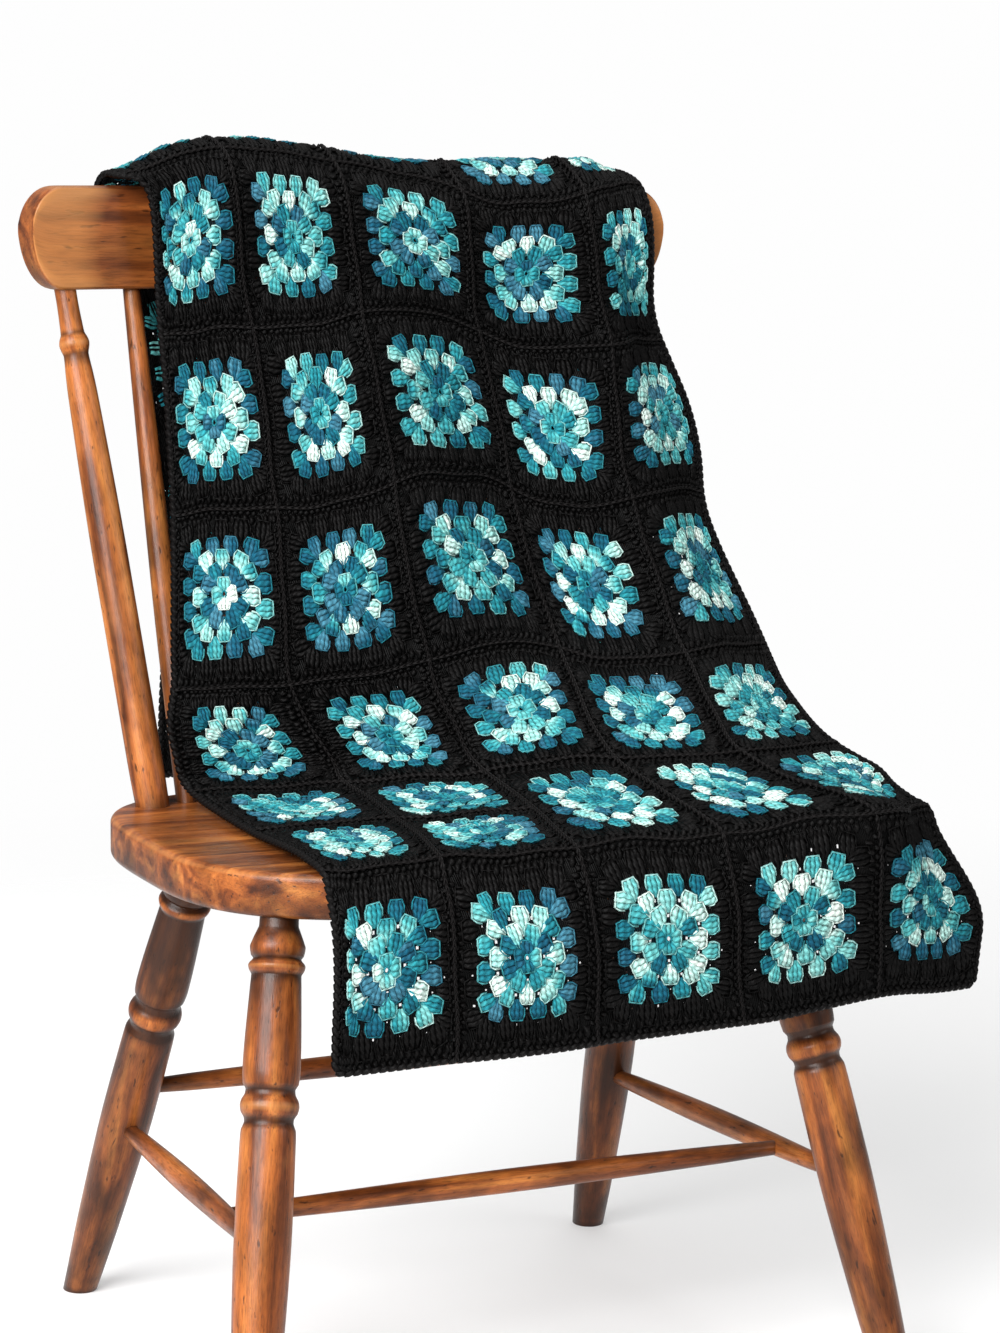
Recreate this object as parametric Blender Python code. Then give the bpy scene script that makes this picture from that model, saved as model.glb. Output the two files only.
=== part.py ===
"""A crocheted granny square blanket laid over a turned wooden chair.

The blanket is one thin sheet, five squares wide. It hangs behind the chair, passes over the crest
rail, slopes down the back rest, crosses the seat and hangs over the seat's front edge. The chair
is plain: a rounded plank seat, four turned legs, four stretchers, two posts, seven spindles and a
bent crest rail. Sizes are in metres, +Z is up, the chair's front faces -Y.
"""

import math

import bmesh
import bpy
import numpy as np
from mathutils import Vector

# Where the middle of the chair stands, measured from the part's origin, which is on the floor
# under the middle of everything.
CHAIR_X = -0.032
CHAIR_Y = -0.1065

FIT_GAP = 0.0003  # left between pieces that meet

# Seat: a rounded plank.
SEAT_TOP = 0.420
SEAT_THICK = 0.033
SEAT_MIDDLE_Y = 0.070
SEAT_HALF_WIDTH = 0.256
SEAT_TO_FRONT = 0.184
SEAT_TO_BACK = 0.200
SEAT_FRONT_ROUNDNESS = 2.8  # exponent of the outline: 2 is an ellipse, more is squarer
SEAT_BACK_ROUNDNESS = 4.0
SEAT_EDGE = 0.005

# Crest rail: a bent board with rounded ends.
CREST_BOTTOM = 0.817
CREST_TOP = 0.898
CREST_HALF_WIDTH = 0.2755
CREST_THICK = 0.026
CREST_MIDDLE_Y = 0.327
CREST_BEND = 0.026  # how far the ends come forward
CREST_CORNER_WIDE = 0.027
CREST_CORNER_ABOVE = 0.032
CREST_CORNER_BELOW = 0.046

# Posts and spindles stand on a curved line on the seat, bent like the crest rail.
POST_FOOT_X = 0.204
POST_TOP_X = 0.243
SPINDLES = 7
SPINDLE_FOOT_X = 0.173
SPINDLE_TOP_X = 0.1855
BACK_LINE_Y = 0.246
BACK_LINE_BEND = 0.031  # how far the line comes forward at the posts

# Legs: (foot x, foot y) on the floor and (x, y) under the seat, for the left-hand legs.
LEGS = {
    "front": {"top": (0.200, -0.048), "foot": (0.262, -0.150)},
    "back": {"top": (0.190, 0.155), "foot": (0.232, 0.325)},
}
SIDE_STRETCHER_Z = {"back": 0.153, "front": 0.160}
BACK_STRETCHER_Z = 0.188
CROSS_STRETCHER_SHARE = 0.75  # of the way from the back leg to the front leg

# Turned outlines: share of the length from the top, radius.
LEG_TURNING = (
    ("neck", 0.00, 0.0140),
    ("neck", 0.03, 0.0142),
    ("bulb", 0.07, 0.0200),
    ("groove", 0.090, 0.0172),
    ("ring", 0.103, 0.0206),
    ("waist", 0.125, 0.0182),
    ("vase", 0.285, 0.0208),
    ("groove", 0.318, 0.0178),
    ("bead", 0.345, 0.0212),
    ("groove", 0.373, 0.0176),
    ("shaft", 0.395, 0.0198),
    ("shaft", 0.560, 0.0206),
    ("shaft", 0.800, 0.0178),
    ("foot", 1.00, 0.0138),
)
POST_TURNING = (
    ("top", 0.00, 0.0086),
    ("neck", 0.09, 0.0092),
    ("bead", 0.112, 0.0118),
    ("groove", 0.135, 0.0098),
    ("shaft", 0.170, 0.0110),
    ("shaft", 0.55, 0.0138),
    ("shaft", 0.90, 0.0138),
    ("foot", 1.00, 0.0132),
)
SPINDLE_TURNING = (
    ("top", 0.00, 0.0068),
    ("shaft", 0.30, 0.0086),
    ("shaft", 0.65, 0.0098),
    ("foot", 1.00, 0.0082),
)
STRETCHER_TURNING = (
    ("end", 0.00, 0.0056),
    ("shaft", 0.12, 0.0072),
    ("belly", 0.50, 0.0092),
    ("shaft", 0.88, 0.0072),
    ("end", 1.00, 0.0056),
)

# Blanket: five squares wide. Rows are counted from the seam that lies along the crest rail's
# front, downwards in front of the chair and, as negative numbers, downwards behind it.
COLUMNS = 5
BLANKET_THICK = 0.0045
CELLS_PER_COLUMN = 5
# Cells for each stretch of rows: finer where the cloth turns over the rail and the seat's edge.
ROW_CELLS = (
    # from   to     cells
    (-4.00, -0.80, 19),
    (-0.80, 0.20, 16),
    (0.20, 3.20, 21),
    (3.20, 4.80, 14),
    (4.80, 5.20, 7),
    (5.20, 6.00, 6),
)

# One line for each cross section of the cloth: its row, then where its left edge, the seam three
# squares in (the valley) and its right edge are, before the folds below are laid on it.
SECTIONS = (
    # name            row      left edge x, y, z        valley x, y, z           right edge x, y, z
    ("back hem",     -4.00, (-0.153, 0.345, 0.420), (0.108, 0.348, 0.412), (0.336, 0.346, 0.424)),
    ("behind, low",  -2.50, (-0.149, 0.346, 0.620), (0.106, 0.350, 0.612), (0.334, 0.347, 0.618)),
    ("behind, high", -1.00, (-0.179, 0.352, 0.828), (0.094, 0.354, 0.826), (0.310, 0.353, 0.828)),
    ("over the rail", -0.55, (-0.202, 0.350, 0.888), (0.086, 0.350, 0.891), (0.292, 0.350, 0.892)),
    ("crest top",    -0.25, (-0.206, 0.319, 0.912), (0.084, 0.320, 0.917), (0.287, 0.320, 0.921)),
    ("crest front",   0.00, (-0.199, 0.285, 0.908), (0.084, 0.288, 0.899), (0.288, 0.281, 0.904)),
    ("row 1",         1.00, (-0.183, 0.272, 0.782), (0.096, 0.270, 0.785), (0.297, 0.266, 0.774)),
    ("row 2",         2.00, (-0.183, 0.245, 0.643), (0.110, 0.229, 0.653), (0.294, 0.226, 0.648)),
    ("row 3",         3.00, (-0.195, 0.208, 0.511), (0.121, 0.153, 0.537), (0.313, 0.146, 0.533)),
    ("seat, back",    3.50, (-0.191, 0.203, 0.463), (0.112, 0.086, 0.503), (0.300, 0.080, 0.498)),
    ("row 4",         4.00, (-0.187, 0.184, 0.435), (0.101, 0.016, 0.474), (0.291, 0.012, 0.470)),
    ("seat, middle",  4.50, (-0.185, 0.058, 0.427), (0.104, -0.064, 0.457), (0.308, -0.050, 0.453)),
    ("seat, front",   4.88, (-0.184, -0.062, 0.427), (0.108, -0.126, 0.443), (0.334, -0.094, 0.443)),
    ("front edge",    5.00, (-0.184, -0.094, 0.423), (0.109, -0.143, 0.438), (0.341, -0.106, 0.438)),
    ("below edge",    5.12, (-0.184, -0.106, 0.408), (0.111, -0.151, 0.422), (0.342, -0.115, 0.423)),
    ("front hem",     6.00, (-0.183, -0.114, 0.283), (0.130, -0.149, 0.299), (0.341, -0.117, 0.301)),
)

# One line for each fold: the seam it is centred on (0 is the left edge, 5 the right), its half
# width in squares, the rows it runs between, the rows over which it fades at each end, and how far
# it moves the cloth forward, to the right and up.
FOLDS = (
    # name               across  half   from   to    fade   forward  right    up
    ("shoulder",          1.20,  1.70,  -1.0,  1.15, 0.80,   0.000,  0.000,   0.020),
    ("left end droop",    0.00,  0.60,  -0.9,  0.25, 0.40,   0.000,  0.000,  -0.010),
    ("right end droop",   5.00,  0.60,  -0.9,  0.05, 0.30,   0.000,  0.000,  -0.011),
    ("gather",            1.60,  1.70,  -4.9,  6.90, 0.80,   0.000, -0.011,   0.000),
    ("column 2 belly",    1.60,  1.45,   0.4,  3.4,  0.90,   0.014,  0.000,   0.008),
    ("column 3 ridge",    2.10,  0.95,   0.4,  3.2,  0.80,   0.010, -0.005,   0.004),
    ("valley lean",       3.00,  0.90,   1.2,  3.8,  0.90,  -0.004,  0.006,   0.000),
    ("column 4 ridge",    4.00,  1.00,   0.2,  5.6,  1.00,   0.026, -0.004,   0.002),
    ("seat pocket",       1.30,  1.70,   3.0,  5.1,  0.90,  -0.022,  0.034,  -0.006),
    ("right shoulder",    5.00,  1.00,  -4.9,  1.9,  1.20,  -0.010, -0.040,   0.000),
    ("right edge curl",   5.00,  0.80,   1.3,  4.2,  0.90,  -0.012, -0.010,   0.000),
    ("seat corner drop",  5.00,  0.90,   4.3,  5.7,  0.65,  -0.006, -0.035,  -0.002),
    ("left edge curl",    0.00,  0.80,  -0.1,  3.3,  0.40,  -0.012,  0.012,   0.000),
    ("hem wave 1",        1.50,  0.80,   5.0,  6.9,  0.80,   0.007,  0.000,   0.000),
    ("hem wave 2",        4.00,  0.90,   4.3,  6.9,  0.80,   0.006,  0.010,   0.007),
    ("back flute 1",      1.40,  1.00,  -4.9, -0.8,  1.10,  -0.028,  0.000,   0.000),
    ("back flute 2",      3.70,  1.00,  -4.9, -0.8,  1.10,  -0.027,  0.000,   0.000),
)


def smooth(t):
    """Eases from 0 to 1 with level ends."""
    t = np.clip(t, 0.0, 1.0)
    return t * t * (3.0 - 2.0 * t)


def follow_rows(rows, knots, values):
    """A smooth curve through the values at the knots, with the slope of each knot's neighbours."""
    knots = np.asarray(knots, float)
    values = np.asarray(values, float)
    slopes = np.gradient(values, knots)
    i = np.clip(np.searchsorted(knots, rows, side="right") - 1, 0, len(knots) - 2)
    step = knots[i + 1] - knots[i]
    t = (rows - knots[i]) / step
    start = (2 * t**3 - 3 * t**2 + 1) * values[i] + (t**3 - 2 * t**2 + t) * step * slopes[i]
    end = (3 * t**2 - 2 * t**3) * values[i + 1] + (t**3 - t**2) * step * slopes[i + 1]
    return start + end


def blanket_surface(across, rows):
    """Points on the middle of the cloth: across is 0 to 5 squares, rows are as in SECTIONS.

    Each section gives three points, joined by straight lines from the left edge to the valley and
    from there to the right edge, with the corner between them eased. The folds are then added,
    each a raised cosine across and a flat-topped ease along the rows.
    """
    knots = [section[1] for section in SECTIONS]
    point = np.zeros(np.shape(across) + (3,))
    bend = 0.35
    right_share = 0.5 * ((across - 3.0) + np.sqrt((across - 3.0) ** 2 + bend**2))
    left_share = right_share - (across - 3.0)
    for axis in range(3):
        left, valley, right = (
            follow_rows(rows, knots, [section[column][axis] for section in SECTIONS])
            for column in (2, 3, 4)
        )
        point[..., axis] = (
            valley + left_share * (left - valley) / 3.0 + right_share * (right - valley) / 2.0
        )
    for _, centre, half, first, last, fade, forward, sideways, up in FOLDS:
        reach = np.clip(np.abs(across - centre) / half, 0.0, 1.0)
        share = np.cos(reach * np.pi / 2) ** 2
        share = share * smooth((rows - first) / fade) * smooth((last - rows) / fade)
        point += share[..., None] * np.array((sideways, -forward, up))
    return point


def add_object(name, mesh, material, smooth_angle=0.7):
    mesh.materials.append(material)
    mesh.shade_smooth()
    mesh.set_sharp_from_angle(angle=smooth_angle)
    thing = bpy.data.objects.new(name, mesh)
    thing.location = (CHAIR_X, CHAIR_Y, 0.0)
    bpy.context.scene.collection.objects.link(thing)
    return thing


def mesh_from(name, points, faces):
    """A mesh whose faces are made to point outwards."""
    mesh = bpy.data.meshes.new(name)
    mesh.from_pydata([tuple(map(float, p)) for p in points], [], faces)
    shape = bmesh.new()
    shape.from_mesh(mesh)
    bmesh.ops.recalc_face_normals(shape, faces=shape.faces)
    shape.to_mesh(mesh)
    shape.free()
    return mesh


def add_blanket(material):
    """The cloth: two skins half a thickness to each side of its middle surface, and a rim."""
    stretches = [np.linspace(first, last, cells + 1)[:-1] for first, last, cells in ROW_CELLS]
    stations = np.concatenate(stretches + [[ROW_CELLS[-1][1]]])
    wide = COLUMNS * CELLS_PER_COLUMN + 1
    long = len(stations)
    across, rows = np.meshgrid(np.linspace(0.0, COLUMNS, wide), stations)
    middle = blanket_surface(across, rows)
    along_rows = np.gradient(middle, axis=0)
    along_width = np.gradient(middle, axis=1)
    normal = np.cross(along_width, along_rows)
    normal /= np.linalg.norm(normal, axis=2, keepdims=True)
    skins = (middle + normal * BLANKET_THICK / 2, middle - normal * BLANKET_THICK / 2)
    points = np.concatenate([skin.reshape(-1, 3) for skin in skins])
    other = wide * long
    faces = []
    for j in range(long - 1):
        for i in range(wide - 1):
            a, b = j * wide + i, j * wide + i + 1
            c, d = b + wide, a + wide
            faces.append((a, b, c, d))
            faces.append((d + other, c + other, b + other, a + other))
    rim = [i for i in range(wide)]
    rim += [j * wide + wide - 1 for j in range(1, long)]
    rim += [(long - 1) * wide + i for i in range(wide - 2, -1, -1)]
    rim += [j * wide for j in range(long - 2, 0, -1)]
    for start, end in zip(rim, rim[1:] + rim[:1]):
        faces.append((start, end, end + other, start + other))
    add_object("blanket", mesh_from("blanket", points, faces), material)


def add_turned(name, top, bottom, turning, sides, material, level_ends):
    """A turned piece between two points. With level ends it is cut flat at their heights."""
    top, bottom = Vector(top), Vector(bottom)
    axis = (bottom - top).normalized()
    side = axis.cross(Vector((0.0, 1.0, 0.0))).normalized()
    front = side.cross(axis).normalized()
    rings = [(share, radius) for _, share, radius in turning]
    if level_ends:
        spare = 0.04 / (bottom - top).length
        rings[0] = (-spare, rings[0][1])
        rings[-1] = (1.0 + spare, rings[-1][1])
    points, faces = [], []
    for share, radius in rings:
        middle = top.lerp(bottom, share)
        for k in range(sides):
            turn = 2 * math.pi * (k + 0.5) / sides
            points.append(middle + radius * (math.cos(turn) * side + math.sin(turn) * front))
    for j in range(len(rings) - 1):
        for k in range(sides):
            here, after = j * sides + k, j * sides + (k + 1) % sides
            faces.append((here, after, after + sides, here + sides))
    faces.append(tuple(range(sides)))
    faces.append(tuple(range(len(points) - sides, len(points))))
    mesh = mesh_from(name, points, faces)
    if level_ends:
        shape = bmesh.new()
        shape.from_mesh(mesh)
        for point, keep in ((top, 1.0), (bottom, -1.0)):
            cut = bmesh.ops.bisect_plane(
                shape,
                geom=shape.verts[:] + shape.edges[:] + shape.faces[:],
                plane_co=point,
                plane_no=(0.0, 0.0, keep),
                clear_outer=True,
            )
            rim = [edge for edge in cut["geom_cut"] if isinstance(edge, bmesh.types.BMEdge)]
            bmesh.ops.contextual_create(shape, geom=rim)
        bmesh.ops.recalc_face_normals(shape, faces=shape.faces)
        shape.to_mesh(mesh)
        shape.free()
    add_object(name, mesh, material)


def add_seat(material):
    """The plank's outline is a superellipse, squarer at the back than at the front."""
    count = 56
    points = []
    for k in range(count):
        turn = 2 * math.pi * (k + 0.5) / count
        c, s = math.cos(turn), math.sin(turn)
        power = SEAT_BACK_ROUNDNESS if s > 0 else SEAT_FRONT_ROUNDNESS
        reach = SEAT_TO_BACK if s > 0 else SEAT_TO_FRONT
        x = SEAT_HALF_WIDTH * math.copysign(abs(c) ** (2 / power), c)
        y = SEAT_MIDDLE_Y + reach * math.copysign(abs(s) ** (2 / power), s)
        points.append((x, y))
    rings = []
    for inset, z in (
        (SEAT_EDGE, SEAT_TOP - SEAT_THICK),
        (0.0, SEAT_TOP - SEAT_THICK + SEAT_EDGE),
        (0.0, SEAT_TOP - SEAT_EDGE),
        (0.3 * SEAT_EDGE, SEAT_TOP - 0.3 * SEAT_EDGE),
        (SEAT_EDGE, SEAT_TOP),
    ):
        share = 1.0 - inset / SEAT_HALF_WIDTH
        rings += [(x * share, SEAT_MIDDLE_Y + (y - SEAT_MIDDLE_Y) * share, z) for x, y in points]
    faces = [tuple(range(count)), tuple(range(len(rings) - count, len(rings)))]
    for j in range(len(rings) // count - 1):
        for k in range(count):
            here, after = j * count + k, j * count + (k + 1) % count
            faces.append((here, after, after + count, here + count))
    add_object("seat", mesh_from("seat", rings, faces), material)


def crest_y(x):
    return CREST_MIDDLE_Y - CREST_BEND * (x / CREST_HALF_WIDTH) ** 2


def back_line_y(x):
    return BACK_LINE_Y - BACK_LINE_BEND * (x / POST_FOOT_X) ** 2


def add_crest_rail(material):
    """Upright slices across the bent board from end to end, each four points."""
    stations = 27
    points = []
    for k in range(stations):
        x = CREST_HALF_WIDTH * math.sin(math.pi * (k / (stations - 1) - 0.5))
        into = max(0.0, abs(x) - (CREST_HALF_WIDTH - CREST_CORNER_WIDE)) / CREST_CORNER_WIDE
        left = 1.0 - math.sqrt(max(0.0, 1.0 - (0.995 * into) ** 2))
        bottom = CREST_BOTTOM + CREST_CORNER_BELOW * left
        top = CREST_TOP - CREST_CORNER_ABOVE * left
        slope = -2 * CREST_BEND * x / CREST_HALF_WIDTH**2
        across = Vector((-slope, 1.0, 0.0)).normalized() * CREST_THICK / 2
        for side, z in ((-1, bottom), (-1, top), (1, top), (1, bottom)):
            points.append((x + side * across.x, crest_y(x) + side * across.y, z))
    faces = [(0, 1, 2, 3), tuple(len(points) - n for n in (1, 2, 3, 4))]
    for k in range(stations - 1):
        for n in range(4):
            here, after = 4 * k + n, 4 * k + (n + 1) % 4
            faces.append((here, after, after + 4, here + 4))
    add_object("crest_rail", mesh_from("crest_rail", points, faces), material)


def leg_point(place, side, z):
    """The middle of a leg at height z. Side is -1 for the left and 1 for the right."""
    top, foot = LEGS[place]["top"], LEGS[place]["foot"]
    share = 1.0 - z / (SEAT_TOP - SEAT_THICK)
    x = top[0] + (foot[0] - top[0]) * share
    y = top[1] + (foot[1] - top[1]) * share
    return Vector((side * x, y, z))


def turned_radius(turning, share):
    return float(np.interp(share, [row[1] for row in turning], [row[2] for row in turning]))


def clear_of(axis, radius, direction, end_radius):
    """How far from a round piece's middle line a flat round end is clear of it.

    The end faces along direction and has the end radius. Each point of its rim leaves the piece
    where its distance from the axis is the piece's radius.
    """
    across = direction.orthogonal().normalized()
    other = direction.cross(across)
    onward = direction - direction.dot(axis) * axis
    farthest = 0.0
    for k in range(24):
        turn = 2 * math.pi * k / 24
        offset = end_radius * (math.cos(turn) * across + math.sin(turn) * other)
        offset -= offset.dot(axis) * axis
        a, b = onward.length_squared, offset.dot(onward)
        c = offset.length_squared - (radius + FIT_GAP) ** 2
        farthest = max(farthest, (-b + math.sqrt(b * b - a * c)) / a)
    return farthest


def add_stretcher(name, start, end, start_piece, end_piece, material):
    """A stretcher between two middle lines. Each piece it meets is given as axis, radius."""
    along = (end - start).normalized()
    end_radius = STRETCHER_TURNING[0][2]
    first = start + along * clear_of(*start_piece, along, end_radius)
    last = end - along * clear_of(*end_piece, -along, end_radius)
    add_turned(name, first, last, STRETCHER_TURNING, 8, material, False)


def add_chair(wood):
    add_seat(wood)
    add_crest_rail(wood)
    under_seat = SEAT_TOP - SEAT_THICK - FIT_GAP
    on_seat = SEAT_TOP + FIT_GAP
    under_crest = CREST_BOTTOM - FIT_GAP
    for side, hand in ((-1, "left"), (1, "right")):
        for place in ("front", "back"):
            top = leg_point(place, side, under_seat)
            foot = leg_point(place, side, 0.0)
            add_turned(f"leg_{place}_{hand}", top, foot, LEG_TURNING, 12, wood, True)
        top = (side * POST_TOP_X, crest_y(POST_TOP_X), under_crest)
        foot = (side * POST_FOOT_X, back_line_y(POST_FOOT_X), on_seat)
        add_turned(f"post_{hand}", top, foot, POST_TURNING, 12, wood, True)
    for k in range(SPINDLES):
        share = 2 * k / (SPINDLES - 1) - 1
        top = (share * SPINDLE_TOP_X, crest_y(share * SPINDLE_TOP_X), under_crest)
        foot = (share * SPINDLE_FOOT_X, back_line_y(share * SPINDLE_FOOT_X), on_seat)
        add_turned(f"spindle_{k + 1}", top, foot, SPINDLE_TURNING, 8, wood, True)

    def leg_piece(place, side, z):
        axis = (leg_point(place, side, 0.0) - leg_point(place, side, 0.3)).normalized()
        shares = [1.0 - (z + step) / (SEAT_TOP - SEAT_THICK) for step in (-0.007, 0.0, 0.007)]
        return axis, max(turned_radius(LEG_TURNING, share) for share in shares)

    crossing, sides = [], []
    for side, hand in ((-1, "left"), (1, "right")):
        back = leg_point("back", side, SIDE_STRETCHER_Z["back"])
        front = leg_point("front", side, SIDE_STRETCHER_Z["front"])
        pieces = leg_piece("back", side, back.z), leg_piece("front", side, front.z)
        add_stretcher(f"stretcher_{hand}", back, front, *pieces, wood)
        crossing.append(back.lerp(front, CROSS_STRETCHER_SHARE))
        radius = turned_radius(STRETCHER_TURNING, CROSS_STRETCHER_SHARE - 0.05)
        sides.append(((front - back).normalized(), radius))
    add_stretcher("stretcher_cross", *crossing, *sides, wood)
    ends = [leg_point("back", side, BACK_STRETCHER_Z) for side in (-1, 1)]
    pieces = [leg_piece("back", side, BACK_STRETCHER_Z) for side in (-1, 1)]
    add_stretcher("stretcher_back", *ends, *pieces, wood)


def make_material(name, colour, roughness):
    material = bpy.data.materials.new(name)
    material.use_nodes = True
    shader = material.node_tree.nodes["Principled BSDF"]
    shader.inputs["Base Color"].default_value = (*colour, 1.0)
    shader.inputs["Roughness"].default_value = roughness
    shader.inputs["Metallic"].default_value = 0.0
    return material


def clear_scene():
    for thing in list(bpy.data.objects):
        bpy.data.objects.remove(thing, do_unlink=True)


clear_scene()
add_chair(make_material("stained beech", (0.30, 0.115, 0.035), 0.40))
add_blanket(make_material("black acrylic yarn", (0.012, 0.011, 0.012), 0.85))
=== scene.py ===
"""A crocheted granny square blanket laid over a turned wooden spindle-back chair."""

import math

import bmesh
import bpy
import numpy as np
from mathutils import Matrix


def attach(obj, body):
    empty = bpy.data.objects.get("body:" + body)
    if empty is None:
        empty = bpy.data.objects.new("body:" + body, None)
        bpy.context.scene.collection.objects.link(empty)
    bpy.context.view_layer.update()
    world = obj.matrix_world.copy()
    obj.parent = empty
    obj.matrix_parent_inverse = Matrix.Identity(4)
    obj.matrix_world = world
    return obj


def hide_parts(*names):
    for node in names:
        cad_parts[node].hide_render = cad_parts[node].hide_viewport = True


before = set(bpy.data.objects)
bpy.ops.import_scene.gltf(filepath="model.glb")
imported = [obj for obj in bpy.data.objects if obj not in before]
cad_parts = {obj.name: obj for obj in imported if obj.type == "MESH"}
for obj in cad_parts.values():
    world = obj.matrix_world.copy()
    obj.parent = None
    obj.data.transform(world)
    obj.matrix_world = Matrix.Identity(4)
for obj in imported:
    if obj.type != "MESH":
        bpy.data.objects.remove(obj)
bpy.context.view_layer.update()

# ----
# Camera. A long lens stands low in front of the chair's left corner, 2.6 m away, and looks down
# a little. The frame is upright, and upright lines stay very nearly parallel in it.


def put_in_scene(name, data):
    """Makes an object of a camera, mesh or lamp and links it to the scene."""
    made = bpy.data.objects.new(name, data)
    bpy.context.scene.collection.objects.link(made)
    return made


def stand_at(thing, place, right, up, back):
    """Stands a camera or lamp at a place, with its own three axes along these directions."""
    columns = np.stack((right, up, back, place), axis=1)
    thing.matrix_world = Matrix([*columns.tolist(), (0.0, 0.0, 0.0, 1.0)])


yaw, pitch, roll = (math.radians(angle) for angle in (24.66, 8.3375, 0.479))
level = math.cos(pitch)
looking = np.array((math.sin(yaw) * level, math.cos(yaw) * level, -math.sin(pitch)))
level_right = np.array((math.cos(yaw), -math.sin(yaw), 0.0))
level_up = np.cross(level_right, looking)
camera_right = level_right * math.cos(roll) + level_up * math.sin(roll)
camera_up = np.cross(camera_right, looking)
camera = put_in_scene("camera", bpy.data.cameras.new("camera"))
stand_at(camera, (-1.12970, -2.48399, 0.93191), camera_right, camera_up, -looking)
camera.data.sensor_fit = "HORIZONTAL"
camera.data.sensor_width = 36.0
camera.data.lens = 128.10
bpy.context.scene.camera = camera

# ----
# Seat. One beech plank, sawn to a rounded outline, its edge eased with a plane and sandpaper.
# It is stained orange brown and varnished to a satin shine that years of use have worn.
CHAIR = np.array((-0.032, -0.1065, 0.0))  # the chair's middle, from the point under everything
SEAT_TOP, SEAT_THICK, SEAT_EASING = 0.420, 0.033, 0.006
SEAT_MIDDLE_Y, SEAT_HALF_WIDTH, SEAT_TO_FRONT, SEAT_TO_BACK = 0.070, 0.256, 0.184, 0.200
SEAT_FRONT_ROUNDNESS, SEAT_BACK_ROUNDNESS = 2.8, 4.0


def linear(hex_colour):
    """An sRGB colour such as #a5683c as linear red, green and blue: each share goes through the
    sRGB curve, which is a straight line near black and a power of 2.4 above."""
    srgb = np.array([int(hex_colour[i : i + 2], 16) for i in (1, 3, 5)]) / 255.0
    return np.where(srgb <= 0.04045, srgb / 12.92, ((srgb + 0.055) / 1.055) ** 2.4)


def add_node(tree, kind, settings=None, **sockets):
    """Adds a node. Settings are its own properties, or just its operation. Sockets are its inputs
    by name or number: a value is set on the input, and another node's output, its first unless
    one is picked, is linked to it."""
    node = tree.nodes.new("ShaderNode" + kind)
    settings = {"operation": settings} if isinstance(settings, str) else settings or {}
    for key, value in settings.items():
        setattr(node, key, value)
    for key, value in sockets.items():
        numbered = key[0] == "i" and key[1:].isdigit()
        socket = node.inputs[int(key[1:]) if numbered else key.replace("_", " ")]
        value = value.outputs[0] if isinstance(value, bpy.types.Node) else value
        if isinstance(value, bpy.types.NodeSocket):
            tree.links.new(value, socket)
        else:
            socket.default_value = value
    return node


def new_material(name, **constants):
    """Makes a material and sets its shader's constants. Gives it, its tree and its shader."""
    material = bpy.data.materials.new(name)
    material.use_nodes = True
    shader = material.node_tree.nodes["Principled BSDF"]
    for socket, value in constants.items():
        shader.inputs[socket.replace("_", " ")].default_value = value
    return material, material.node_tree, shader


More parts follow.
